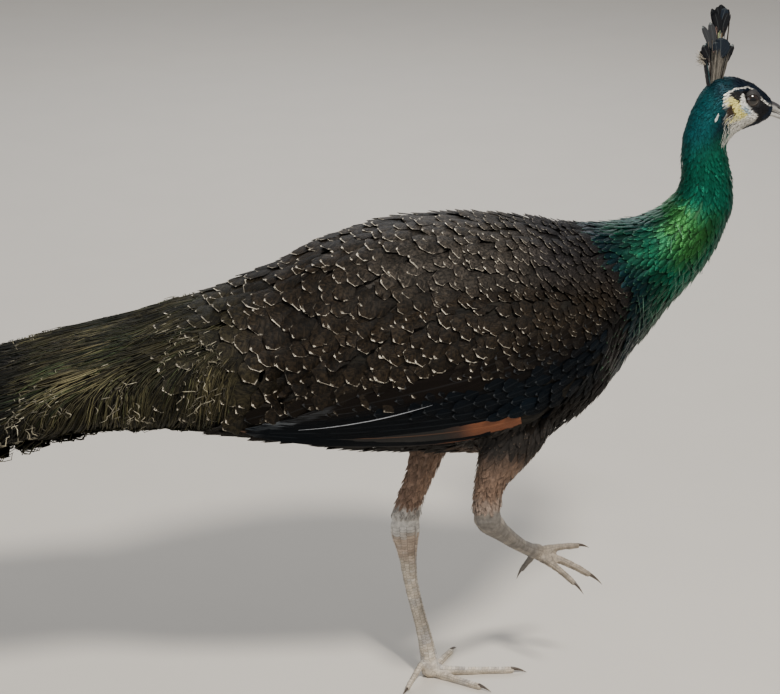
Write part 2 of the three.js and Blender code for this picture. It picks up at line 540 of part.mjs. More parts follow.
// The origin is on the floor, under the middle of the bird's length.
const reach = new THREE.Box3().setFromObject(group, true);
group.position.set(-(reach.min.x + reach.max.x) / 2, -(reach.min.y + reach.max.y) / 2, 0);
group.updateMatrixWorld(true);

export default group;
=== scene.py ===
import math
import bpy
import bmesh
import numpy as np
from mathutils import Vector, Matrix
from mathutils.bvhtree import BVHTree


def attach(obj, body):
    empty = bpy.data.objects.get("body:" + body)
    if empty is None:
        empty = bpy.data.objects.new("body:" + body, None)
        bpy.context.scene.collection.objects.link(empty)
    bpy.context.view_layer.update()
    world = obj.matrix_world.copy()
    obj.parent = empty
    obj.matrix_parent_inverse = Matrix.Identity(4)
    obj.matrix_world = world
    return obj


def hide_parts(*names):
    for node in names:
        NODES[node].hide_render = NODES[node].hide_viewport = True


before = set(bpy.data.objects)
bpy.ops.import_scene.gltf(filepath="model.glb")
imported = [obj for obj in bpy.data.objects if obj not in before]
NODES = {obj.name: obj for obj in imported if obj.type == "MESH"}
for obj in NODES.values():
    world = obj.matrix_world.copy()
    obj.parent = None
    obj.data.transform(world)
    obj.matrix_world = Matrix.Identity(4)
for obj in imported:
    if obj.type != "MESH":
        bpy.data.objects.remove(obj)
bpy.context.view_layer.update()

rng = np.random.default_rng(20)
# Lengths below are millimetres, with the joint of the standing foot's toes at x = 0.
X0 = 220.943
MM = 0.001


def metres(p):
    p = np.asarray(p, float)
    return (p + np.array([X0, 0, 0])) * MM


def lerp(a, b, t):
    return a + (b - a) * t


def smooth(x, a, b):
    t = np.clip((np.asarray(x, float) - a) / (b - a), 0, 1)
    return t * t * (3 - 2 * t)


def unit(v):
    return v / (np.linalg.norm(v, axis=-1, keepdims=True) + 1e-12)


# ------------------------------------------------------------------ camera, light and floor
def studio():
    psi, elev, dist, scale = math.radians(8), math.radians(22), 2300.0, 1.03
    f = np.array([math.cos(elev) * math.sin(psi), math.cos(elev) * math.cos(psi), -math.sin(elev)])
    r = np.array([math.cos(psi), -math.sin(psi), 0.0])
    u = np.array([math.sin(elev) * math.sin(psi), math.sin(elev) * math.cos(psi), math.cos(elev)])
    target = np.array([-45.594, 0.0, 399.648])
    cam = bpy.data.cameras.new("camera")
    ob = bpy.data.objects.new("camera", cam)
    bpy.context.scene.collection.objects.link(ob)
    cam.sensor_fit, cam.sensor_width = "HORIZONTAL", 36.0
    cam.lens = dist / scale * 36.0 / 780.0
    cam.clip_end = 150
    m = Matrix(((r[0], u[0], -f[0]), (r[1], u[1], -f[1]), (r[2], u[2], -f[2]))).to_4x4()
    m.translation = Vector(metres(target - dist * f))
    ob.matrix_world = m
    bpy.context.scene.camera = ob
    me = bpy.data.meshes.new("floor")
    s = 40.0
    me.from_pydata([(-s, -s, 0), (s, -s, 0), (s, s, 0), (-s, s, 0)], [], [(0, 1, 2, 3)])
    floor = bpy.data.objects.new("floor", me)
    bpy.context.scene.collection.objects.link(floor)
    me.materials.append(plain("floor_pale", (0.62, 0.58, 0.52), 0.9))

    def area(name, place, aim, size, power, colour):
        d = bpy.data.lights.new(name, "AREA")
        d.shape, d.size, d.energy, d.color = "DISK", size, power, colour
        o = bpy.data.objects.new(name, d)
        bpy.context.scene.collection.objects.link(o)
        o.location = place
        o.rotation_euler = (Vector(aim) - Vector(place)).to_track_quat("-Z", "Y").to_euler()

    area("key", (0.9, -1.6, 2.8), (0.0, 0, 0.35), 0.45, 112, (1.0, 0.95, 0.87))
    area("fill", (-1.9, -1.9, 1.3), (0, 0, 0.3), 2.0, 15, (0.92, 0.96, 1.0))
    area("back", (0.5, 2.3, 2.0), (0, 0, 0.35), 1.6, 32, (0.95, 0.97, 1.0))
    w = bpy.data.worlds.new("world")
    bpy.context.scene.world = w
    w.use_nodes = True
    bg = w.node_tree.nodes.get("Background") or w.node_tree.nodes.new("ShaderNodeBackground")
    bg.inputs["Color"].default_value = (0.94, 0.96, 1.0, 1)
    bg.inputs["Strength"].default_value = 0.42


# ------------------------------------------------------------------ materials
class Graph:
    """Short forms for node trees."""

    def __init__(self, name):
        self.mat = bpy.data.materials.new(name)
        self.mat.use_nodes = True
        self.t = self.mat.node_tree
        self.t.nodes.clear()
        self.out = self.t.nodes.new("ShaderNodeOutputMaterial")
        self.b = self.t.nodes.new("ShaderNodeBsdfPrincipled")
        self.t.links.new(self.b.outputs[0], self.out.inputs[0])

    def put(self, socket, value):
        if isinstance(value, bpy.types.NodeSocket):
            self.t.links.new(value, socket)
        elif value is not None:
            if hasattr(socket.default_value, "__len__") and not hasattr(value, "__len__"):
                value = (value,) * len(socket.default_value)
            if hasattr(value, "__len__") and len(value) == 3 and len(socket.default_value) == 4:
                value = (*value, 1)
            socket.default_value = value

    def node(self, kind, props=None, ins=None, out=0):
        n = self.t.nodes.new("ShaderNode" + kind)
        for k, v in (props or {}).items():
            setattr(n, k, v)
        for k, v in (ins or {}).items():
            self.put(n.inputs[k], v)
        return n.outputs[out]

    def math(self, op, a, b=0.0, clamp=False):
        return self.node("Math", {"operation": op, "use_clamp": clamp}, {0: a, 1: b})

    def vec(self, x, y, z):
        return self.node("CombineXYZ", {}, {0: x, 1: y, 2: z})

    def parts(self, v):
        n = self.t.nodes.new("ShaderNodeSeparateXYZ")
        self.t.links.new(v, n.inputs[0])
        return n.outputs[0], n.outputs[1], n.outputs[2]

    def noise(self, v, scale, detail=2.0, rough=0.5, kind="3D"):
        return self.node("TexNoise", {"noise_dimensions": kind}, {"Vector": v, "Scale": scale, "Detail": detail, "Roughness": rough})

    def ramp(self, x, a, b, lo=0.0, hi=1.0):
        return self.node("MapRange", {"interpolation_type": "SMOOTHSTEP"}, {"Value": x, "From Min": a, "From Max": b, "To Min": lo, "To Max": hi})

    def mix(self, f, a, b, how="MIX"):
        n = self.t.nodes.new("ShaderNodeMix")
        n.data_type, n.blend_type = "RGBA", how
        self.put(n.inputs[0], f)
        self.put(n.inputs[6], a)
        self.put(n.inputs[7], b)
        return n.outputs[2]

    def scale(self, colour, k):
        return self.mix(1.0, colour, self.node("CombineColor", {}, {0: k, 1: k, 2: k}) if isinstance(k, bpy.types.NodeSocket) else (k, k, k), "MULTIPLY")

    def attr(self, name, out="Vector"):
        n = self.t.nodes.new("ShaderNodeAttribute")
        n.attribute_name = name
        return n.outputs[out]

    def bump(self, h, strength, distance):
        return self.node("Bump", {}, {"Strength": strength, "Distance": distance, "Height": h})

    def finish(self, colour=None, rough=None, normal=None, **consts):
        if colour is not None:
            self.put(self.b.inputs["Base Color"], colour)
        if rough is not None:
            self.put(self.b.inputs["Roughness"], rough)
        if normal is not None:
            self.put(self.b.inputs["Normal"], normal)
        for k, v in consts.items():
            self.put(self.b.inputs[k.replace("_", " ")], v)
        return self.mat


def plain(name, colour, rough):
    g = Graph(name)
    tex = g.t.nodes.new("ShaderNodeTexCoord").outputs["Object"]
    n = g.noise(tex, 9.0, 4.0)
    return g.finish(g.mix(g.ramp(n, 0.3, 0.7, 0, 0.12), colour, tuple(c * 0.86 for c in colour)), rough)


def feather_material(name, rough=0.55, metal=0.0, spec=0.4, rim=(0.3, 0.24, 0.17), shaft=0.0, stripe=26.0, slant=9.0, contrast=0.6,
                     bump=0.35, sheen=0.0, sheen_tint=(1, 1, 1), mottle=0.0, rim_from=0.90, side=1.0):
    """Vane: x across from -1 to 1, y along from 0 to 1, z a number of the feather's own."""
    g = Graph(name)
    tint, alpha = g.attr("tint", "Color"), g.attr("tint", "Alpha")
    s, t, own = g.parts(g.attr("vane"))
    edge = g.math("ABSOLUTE", s)
    lane = g.math("SUBTRACT", g.math("MULTIPLY", t, stripe), g.math("MULTIPLY", edge, slant))
    barbs = g.noise(g.vec(lane, g.math("MULTIPLY", own, 40.0), g.math("MULTIPLY", s, 0.7)), 1.0, 3.0, 0.6)
    fine = g.noise(g.vec(g.math("MULTIPLY", lane, 3.1), g.math("MULTIPLY", own, 71.0), s), 1.0, 1.0)
    depth = g.math("ADD", g.math("MULTIPLY", barbs, 0.7), g.math("MULTIPLY", fine, 0.3))
    shade = g.ramp(depth, 0.3, 0.72, 1.0 - contrast, 1.0 + contrast * 0.55)
    base = g.scale(tint, shade)
    if mottle > 0:
        patch = g.noise(g.vec(g.math("MULTIPLY", s, 2.2), g.math("MULTIPLY", t, 7.0), g.math("MULTIPLY", own, 55.0)), 1.4, 3.0)
        base = g.scale(base, g.ramp(patch, 0.35, 0.65, 1.0 - mottle, 1.0 + mottle))
    # a light edge, broken and uneven: partly the feather's own pale fringe, partly painted highlight where the edge
    # catches the light, stronger on one flank
    wob = g.noise(g.vec(g.math("MULTIPLY", s, 3.0), g.math("MULTIPLY", t, 9.0), g.math("MULTIPLY", own, 23.0)), 1.3, 3.0, 0.65)
    place = g.math("ADD", t, g.math("MULTIPLY", g.math("SUBTRACT", wob, 0.5), 0.10))
    flank = g.math("MULTIPLY", g.math("MULTIPLY", g.ramp(edge, 0.86, 0.97), g.ramp(t, 0.70, 0.84)), side)
    reach = g.math("MAXIMUM", flank, g.ramp(place, rim_from, rim_from + 0.04))
    lean = g.ramp(g.math("ADD", s, g.math("MULTIPLY", own, 1.1)), -0.6, 0.3)
    light = g.math("MULTIPLY", g.math("MULTIPLY", reach, lean), g.math("MULTIPLY", g.ramp(wob, 0.40, 0.56), alpha))
    colour = g.mix(light, base, rim)
    if shaft > 0:
        colour = g.mix(g.math("MULTIPLY", g.ramp(edge, 0.10, 0.02), shaft), colour, rim)
    r = g.ramp(depth, 0.3, 0.7, rough + 0.1, rough - 0.08)
    return g.finish(colour, r, g.bump(depth, bump, 0.0006), Metallic=metal, **{"Specular IOR Level": spec, "Sheen Weight": sheen,
                    "Sheen Roughness": 0.4, "Sheen Tint": (*sheen_tint, 1)})


# ------------------------------------------------------------------ forms
def read(ob):
    me = ob.data
    co = np.zeros(len(me.vertices) * 3)
    me.vertices.foreach_get("co", co)
    me.calc_loop_triangles()
    tri = np.zeros(len(me.loop_triangles) * 3, np.int32)
    me.loop_triangles.foreach_get("vertices", tri)
    return co.reshape(-1, 3), tri.reshape(-1, 3)


def weld(co, tri):
    """The same mesh with equal points joined."""
    key = np.round(co * 1e6).astype(np.int64)
    _, first, inv = np.unique(key, axis=0, return_index=True, return_inverse=True)
    return co[first], inv.reshape(-1)[tri]


def point_normals(co, faces):
    a, b, c = (co[faces[:, k]] for k in range(3))
    n = np.cross(b - a, c - a)
    if faces.shape[1] == 4:
        n = n + np.cross(c - a, co[faces[:, 3]] - a)
    out = np.zeros_like(co)
    for k in range(faces.shape[1]):
        for d in range(3):
            out[:, d] += np.bincount(faces[:, k], n[:, d], len(co))
    return unit(out)


def relax(co, faces, rounds, keep=None, k=0.5):
    """Laplacian smoothing with a volume-keeping second pass."""
    e = np.vstack([faces[:, [i, (i + 1) % faces.shape[1]]] for i in range(faces.shape[1])])
    deg = np.bincount(e[:, 0], minlength=len(co)) + np.bincount(e[:, 1], minlength=len(co))
    for r in range(rounds):
        for w in (k, -k * 1.03):
            s = np.zeros_like(co)
            for d in range(3):
                s[:, d] = np.bincount(e[:, 0], co[e[:, 1], d], len(co)) + np.bincount(e[:, 1], co[e[:, 0], d], len(co))
            step = (s / deg[:, None] - co) * w
            if keep is not None:
                step *= keep[:, None]
            co = co + step
    return co


def joined(names, grow):
    pts, tris, base = [], [], 0
    for n in names:
        co, tri = weld(*read(NODES[n]))
        co = co + point_normals(co, tri) * grow
        pts.append(co)
        tris.append(tri + base)
        base += len(co)
    return np.vstack(pts), np.vstack(tris)


def make_mesh(name, co, faces):
    me = bpy.data.meshes.new(name)
    k = faces.shape[1]
    me.vertices.add(len(co))
    me.vertices.foreach_set("co", np.ascontiguousarray(co, np.float32).ravel())
    me.loops.add(len(faces) * k)
    me.loops.foreach_set("vertex_index", np.ascontiguousarray(faces, np.int32).ravel())
    me.polygons.add(len(faces))
    me.polygons.foreach_set("loop_start", np.arange(0, len(faces) * k, k, dtype=np.int32))
    me.update(calc_edges=True)
    return me


def remeshed(names, voxel, grow, rounds):
    """One closed quad surface over several solids."""
    co, tri = joined(names, grow)
    me = make_mesh("tmp", co, tri)
    ob = bpy.data.objects.new("tmp", me)
    bpy.context.scene.collection.objects.link(ob)
    mod = ob.modifiers.new("r", "REMESH")
    mod.mode, mod.voxel_size, mod.adaptivity = "VOXEL", voxel, 0.0
    dg = bpy.context.evaluated_depsgraph_get()
    new = bpy.data.meshes.new_from_object(ob.evaluated_get(dg))
    n = len(new.vertices)
    out = np.zeros(n * 3)
    new.vertices.foreach_get("co", out)
    out = out.reshape(-1, 3)
    idx = np.zeros(len(new.loops), np.int32)
    new.loops.foreach_get("vertex_index", idx)
    tot = np.zeros(len(new.polygons), np.int32)
    new.polygons.foreach_get("loop_total", tot)
    assert (tot == 4).all()
    faces = idx.reshape(-1, 4)
    bpy.data.objects.remove(ob)
    bpy.data.meshes.remove(new)
    # the largest piece only
    lab = np.arange(n)
    e = np.vstack([faces[:, [i, (i + 1) % 4]] for i in range(4)])
    while True:
        m = lab.copy()
        np.minimum.at(m, e[:, 0], lab[e[:, 1]])
        np.minimum.at(m, e[:, 1], lab[e[:, 0]])
        m = m[m]
        if (m == lab).all():
            break
        lab = m
    best = np.bincount(lab[faces[:, 0]]).argmax()
    faces = faces[lab[faces[:, 0]] == best]
    used, inv = np.unique(faces, return_inverse=True)
    out, faces = out[used], inv.reshape(-1, 4)
    return relax(out, faces, rounds), faces


FLESH = [n for n in NODES if n.startswith(("head", "neck", "trunk", "rump", "thigh", "shank", "tarsus", "toe"))]
COATED = [n for n in NODES if n.startswith(("head", "neck", "trunk", "rump", "thigh", "shank", "wing", "primaries", "vent"))]
TRAIN = [n for n in NODES if n.startswith(("train", "tail"))]


class Form:
    """A surface to lay feathers on: nearest points and smooth normals, in millimetres."""

    def __init__(self, co, faces):
        self.co, self.faces = co, faces
        nv = point_normals(co, faces)
        self.nv = nv
        self.fn = unit(nv[faces].mean(1))
        self.tree = BVHTree.FromPolygons([tuple(p) for p in co], [tuple(f) for f in faces.tolist()])
        a, b, c, d = (co[faces[:, k]] for k in range(4))
        self.area = (np.linalg.norm(np.cross(b - a, c - a), axis=1) + np.linalg.norm(np.cross(c - a, d - a), axis=1)) / 2

    def near(self, pts):
        find = self.tree.find_nearest
        hits = [find(p) for p in pts.tolist()]
        out = np.array([h[0] for h in hits])
        f = self.faces[np.array([h[2] for h in hits])]
        # blend of the corner normals by distance
        w = 1.0 / (((self.co[f] - out[:, None]) ** 2).sum(2) + 0.05)
        return out, unit((self.nv[f] * w[..., None]).sum(1))

    def scatter(self, count, weight=None):
        a = self.area if weight is None else self.area * weight
        k = rng.choice(len(a), count, p=a / a.sum())
        u, v = rng.random(count), rng.random(count)
        f = self.co[self.faces[k]]
        p = (f[:, 0] * ((1 - u) * (1 - v))[:, None] + f[:, 1] * (u * (1 - v))[:, None] + f[:, 2] * (u * v)[:, None] + f[:, 3] * ((1 - u) * v)[:, None])
        return p, self.fn[k], k


def thin_out(p, radius, order=None):
    """Indexes of points that keep at least their radius from each other."""
    cell = float(np.max(radius))
    keys = np.floor(p / cell).astype(int)
    grid, keep = {}, []
    r2 = radius ** 2
    P, K = p.tolist(), keys.tolist()
    for i in (range(len(P)) if order is None else order):
        x, y, z = P[i]
        a, b, c = K[i]
        ok, lim = True, r2[i]
        for dx in (-1, 0, 1):
            for dy in (-1, 0, 1):
                for dz in (-1, 0, 1):
                    for j in grid.get((a + dx, b + dy, c + dz), ()):
                        q = P[j]
                        if (q[0] - x) ** 2 + (q[1] - y) ** 2 + (q[2] - z) ** 2 < lim:
                            ok = False
                            break
                    if not ok:
                        break
                if not ok:
                    break
            if not ok:
                break
        if ok:
            grid.setdefault((a, b, c), []).append(i)
            keep.append(i)
    return np.array(keep, int)


# ------------------------------------------------------------------ lie of the coat
SPINE = np.array([[352, 640], [335, 646], [316, 651], [300, 650], [288, 640], [280, 622], [277, 600], [279, 580], [281, 560], [276, 540],
                  [264, 518], [246, 498], [220, 480], [190, 464], [150, 449], [100, 437], [50, 426], [0, 416], [-60, 409], [-130, 404],
                  [-200, 398], [-270, 390], [-350, 378], [-450, 360], [-600, 326], [-820, 284]], float)
SEG = np.linalg.norm(np.diff(SPINE, axis=0), axis=1)
ARC = np.concatenate([[0], np.cumsum(SEG)])
LEG = {
    "l": np.array([[44, 60, 380], [34, 66, 326], [22, 65, 300], [12, 64, 276], [4, 62, 253], [-3, 59, 230], [-11, 56, 210], [-19, 52, 191],
                   [-22, 48, 172], [-21, 43, 144], [-18, 35, 109], [-13, 31, 86], [-7, 26, 61], [-3, 21, 41], [0, 17, 20]], float),
    "r": np.array([[84, -60, 395], [82, -64, 372], [76, -72, 350], [68, -80, 326], [57, -84, 306], [48, -86, 290], [44, -86, 275], [42, -87, 261],
                   [41, -88, 245], [46, -84, 233], [61, -64, 213], [77, -46, 192], [92, -27, 174], [106, -10, 160], [116, 0, 152]], float),
}


def spine_at(p):
    """Arc length from the bill, signed height over the axis towards the back or nape, and the tangent towards the tail."""
    q = p[:, [0, 2]]
    best = np.full(len(p), 1e18)
    arc = np.zeros(len(p))
    up = np.zeros(len(p))
    num, den = np.zeros((len(p), 2)), np.zeros(len(p))
    for i in range(len(SEG)):
        a, d = SPINE[i], (SPINE[i + 1] - SPINE[i]) / SEG[i]
        t = np.clip((q - a) @ d, 0, SEG[i])
        c = a + t[:, None] * d
        r2 = ((q - c) ** 2).sum(1)
        w = SEG[i] / (r2 + 60.0) ** 1.6
        num += w[:, None] * d
        den += w
        better = r2 < best
        best = np.where(better, r2, best)
        arc = np.where(better, ARC[i] + t, arc)
        side = d[1] * (q - c)[:, 0] - d[0] * (q - c)[:, 1]
        up = np.where(better, side, up)
    tan = num / den[:, None]
    return arc, up, unit(np.stack([tan[:, 0], np.zeros(len(p)), tan[:, 1]], 1))


def leg_at(p, tag):
    """Distance to the leg's axis and the tangent down the leg."""
    L = LEG[tag]
    best, tan = np.full(len(p), 1e18), np.zeros_like(p)
    for i in range(len(L) - 1):
        d = L[i + 1] - L[i]
        n = np.linalg.norm(d)
        d = d / n
        t = np.clip((p - L[i]) @ d, 0, n)
        r2 = ((p - L[i] - t[:, None] * d) ** 2).sum(1)
        better = r2 < best
        best = np.where(better, r2, best)
        tan[better] = d
    return np.sqrt(best), tan


def leg_share(p):
    """How far a point belongs to a leg, 0 to 1, and the leg's tangent."""
    dl, tl = leg_at(p, "l")
    dr, tr = leg_at(p, "r")
    left = p[:, 1] > 0
    d = np.where(left, dl, dr)
    tan = np.where(left[:, None], tl, tr)
    top = np.where(left, 340, 352)
    share = smooth(d, 46, 36) * smooth(p[:, 2], top + 12, top - 14)
    return share, tan, left


def flow(p, n):
    """Unit vectors along the lie of the coat at points p with normals n."""
    arc, up, tan = spine_at(p)
    v = tan.copy()
    x, z = p[:, 0], p[:, 2]
    body = smooth(x, 215, 150) * smooth(arc, 230, 330)
    drop = body * smooth(z, 352, 410) * smooth(x, -330, -150) * np.interp(z, [400, 470, 530], [0.95, 0.72, 0.5])
    v[:, 2] -= drop
    hang = smooth(x, -150, -260) * smooth(z, 330, 380)
    v[:, 2] -= 0.30 * hang
    share, lt, _ = leg_share(p)
    v = v * (1 - share[:, None]) + lt * share[:, None]
    v = v - (v * n).sum(1, keepdims=True) * n
    return unit(v)


# ------------------------------------------------------------------ markings
def mixc(a, b, t):
    return a + (np.asarray(b, float) - a) * np.clip(t, 0, 1)[:, None]


def wander(p, scale, seed=0.0):
    """A cheap smooth noise of place, about -1 to 1."""
    q = p / scale + seed
    return (np.sin(q[:, 0] * 1.3 + 2.1 * np.sin(q[:, 2] * 0.9 + seed)) + np.sin(q[:, 1] * 1.7 + 1.3 * np.sin(q[:, 0] * 1.1))
            + np.sin(q[:, 2] * 1.5 + 1.7 * np.sin(q[:, 1] * 1.2 + seed * 2))) / 2.4


def capsule(q, pts, r):
    """Distance from points q (x, z) to a polyline less its radius; r may vary along it."""
    pts = np.asarray(pts, float)
    r = np.broadcast_to(np.asarray(r, float), (len(pts),))
    if len(pts) == 1:
        return np.linalg.norm(q - pts[0], axis=1) - r[0]
    d = np.full(len(q), 1e9)
    for i in range(len(pts) - 1):
        v = pts[i + 1] - pts[i]
        t = np.clip(((q - pts[i]) @ v) / (v @ v), 0, 1)
        d = np.minimum(d, np.linalg.norm(q - pts[i] - t[:, None] * v, axis=1) - lerp(r[i], r[i + 1], t))
    return d


NAVY, TEAL, EMERALD = (0.003, 0.010, 0.024), (0.001, 0.082, 0.088), (0.001, 0.106, 0.062)
LIME, GREEN, BLUEBLACK = (0.024, 0.108, 0.019), (0.001, 0.060, 0.030), (0.001, 0.010, 0.014)
BRONZE, TOP_SHEEN, SHADE_BROWN = (0.0180, 0.0122, 0.0068), (0.048, 0.040, 0.032), (0.0052, 0.0036, 0.0025)
OLIVE, WINGBLACK, RUFOUS = (0.022, 0.019, 0.009), (0.0022, 0.0034, 0.0050), (0.150, 0.048, 0.018)
TAN, SCALE, WHITE = (0.33, 0.21, 0.145), (0.50, 0.43, 0.34), (0.78, 0.76, 0.70)
CREAM, EARSPOT, BLACK, GREY = (0.70, 0.62, 0.20), (0.030, 0.016, 0.008), (0.006, 0.006, 0.008), (0.36, 0.40, 0.42)

# Head marks in the side view (x, z), the same on both sides.
STRIPE = [(292, 658.6), (296.5, 662.0), (303, 664.2), (310, 664.6), (318, 663.4), (325, 659.6), (329.5, 653), (336, 647), (346, 641)]
EYE_STREAK = [(299.0, 659.8), (304, 658.0), (312, 655)]
FACE = [(297, 658), (304, 656), (303, 642), (316, 640), (326, 634)]
THROAT = [(300, 640), (306, 632), (322, 632), (303, 622), (296, 611)]


def head_marks(p, c):
    q = p[:, [0, 2]] + np.stack([wander(p, 3.0, 1.0), wander(p, 3.0, 4.0)], 1) * 0.5
    side = smooth(np.abs(p[:, 1]), 5.0, 9.5)
    under = smooth(p[:, 2], 634, 628)

    def paint(c, d, colour, soft=0.9, where=side):
        return mixc(c, colour, smooth(d, soft, -soft) * where)

    c = paint(c, capsule(q, [(312, 652), (322, 648), (334, 641)], [9, 10, 6]), BLACK)
    c = paint(c, capsule(q, [(330, 642), (329, 632)], [4.6, 4.0]), BLACK, where=np.maximum(side, under))
    c = paint(c, capsule(q, THROAT, [7.0, 7.6, 4.2, 5.2, 1.0]), (0.52, 0.50, 0.45), 1.2, np.maximum(side, under * smooth(p[:, 0], 333, 326)))
    c = paint(c, capsule(q, [(299, 654), (304, 646), (312, 640), (324, 635)], [7.6, 9.0, 6.0, 3.0]), WHITE)
    c = paint(c, capsule(q, [(295, 657), (300, 658)], [2.6, 3.4]), WHITE)
    c = paint(c, capsule(q, [(296, 655), (301, 650), (305, 644), (300, 637), (312, 640)], [3.0, 5.4, 6.2, 5.6, 4.2]), CREAM, 1.6)
    c = paint(c, capsule(q, [(308.5, 648), (313, 643), (319, 638.5)], [1.6, 2.3, 1.5]), (0.30, 0.38, 0.44), 1.2)
    c = paint(c, capsule(q, EYE_STREAK, [2.6, 4.0, 5.6]), BLACK, 0.6)
    c = paint(c, capsule(q, STRIPE, [1.1, 0.9, 0.6, 0.6, 0.65, 0.6, 0.7, 0.8, 0.7]), WHITE, 0.4)
    c = paint(c, capsule(q, [(309.6, 658), (308.9, 652), (311, 646.5)], [1.1, 1.5, 1.0]), WHITE, 0.6)
    c = paint(c, capsule(q, [(297, 646), (298, 640)], [3.6, 4.4]), EARSPOT, 1.0)
    c = paint(c, capsule(q, [(285.4, 641.6), (284.6, 638.6)], [1.3, 1.0]), WHITE, 0.7)
    return c


def bare(p):
    """1 on the scaled tarsi and toes."""
    low = smooth(p[:, 2], 186, 178)
    raised = smooth(p[:, 2], 256, 248) * smooth(p[:, 1], 30, 22) * smooth(p[:, 0], 22, 28)
    return np.maximum(low, raised)


def foot_colour(p):
    w, w2 = wander(p, 7.0, 2.0), wander(p, 2.6, 5.0)
    raised = (p[:, 2] > 100) & (p[:, 1] < 24) & (p[:, 0] > 22)
    z = p[:, 2]
    c = mixc(np.tile((0.50, 0.43, 0.34), (len(p), 1)).astype(float), (0.36, 0.335, 0.31), smooth(w, 0.1, 0.9) * 0.8)
    c = mixc(c, (0.62, 0.57, 0.50), smooth(w2, 0.2, 0.9) * 0.6)
    c = mixc(c, (0.40, 0.27, 0.19), smooth(z + 4 * w2, 128, 140) * smooth(z + 4 * w2, 172, 158) * 0.55)
    c = mixc(c, (0.62, 0.60, 0.56), smooth(z + 3 * w2, 160, 170) * 0.8)
    c = mixc(c, (0.42, 0.42, 0.42), smooth(z, 44, 26) * smooth(p[:, 0], 2, 12) * smooth(p[:, 2], 8, 16) * 0.7)
    # the raised foot in darker greys than the standing one, lighter towards its toe tips: painted shade, as it lies in
    # the body's shadow
    grey = mixc(np.tile((0.135, 0.122, 0.108), (len(p), 1)).astype(float), (0.25, 0.22, 0.185), smooth(w, 0.0, 0.9))
    grey = mixc(grey, (0.34, 0.28, 0.21), smooth(p[:, 0], 104, 128) * 0.7)
    c[raised] = grey[raised]
    return c


def face_share(p):
    """1 on the bare, bristly face and throat, 0 on the feathered crown and neck."""
    q = p[:, [0, 2]]
    d = np.minimum(capsule(q, FACE, [4, 9, 10, 10, 9]), capsule(q, THROAT, [5, 9, 7, 6, 2]))
    d = np.minimum(d, capsule(q, [(330, 640), (344, 640)], [9, 9]))
    return smooth(d, 1.0, -1.0) * np.maximum(smooth(np.abs(p[:, 1]), 4.0, 8.0), smooth(p[:, 2], 640, 632))


def scapular_floor(x):
    """Height of the lower edge of the bronze scale feathers along the side."""
    return np.interp(x, [-260, -199, -99, 6, 91, 140, 175, 220], [352, 362, 388, 414, 437, 446, 462, 480])


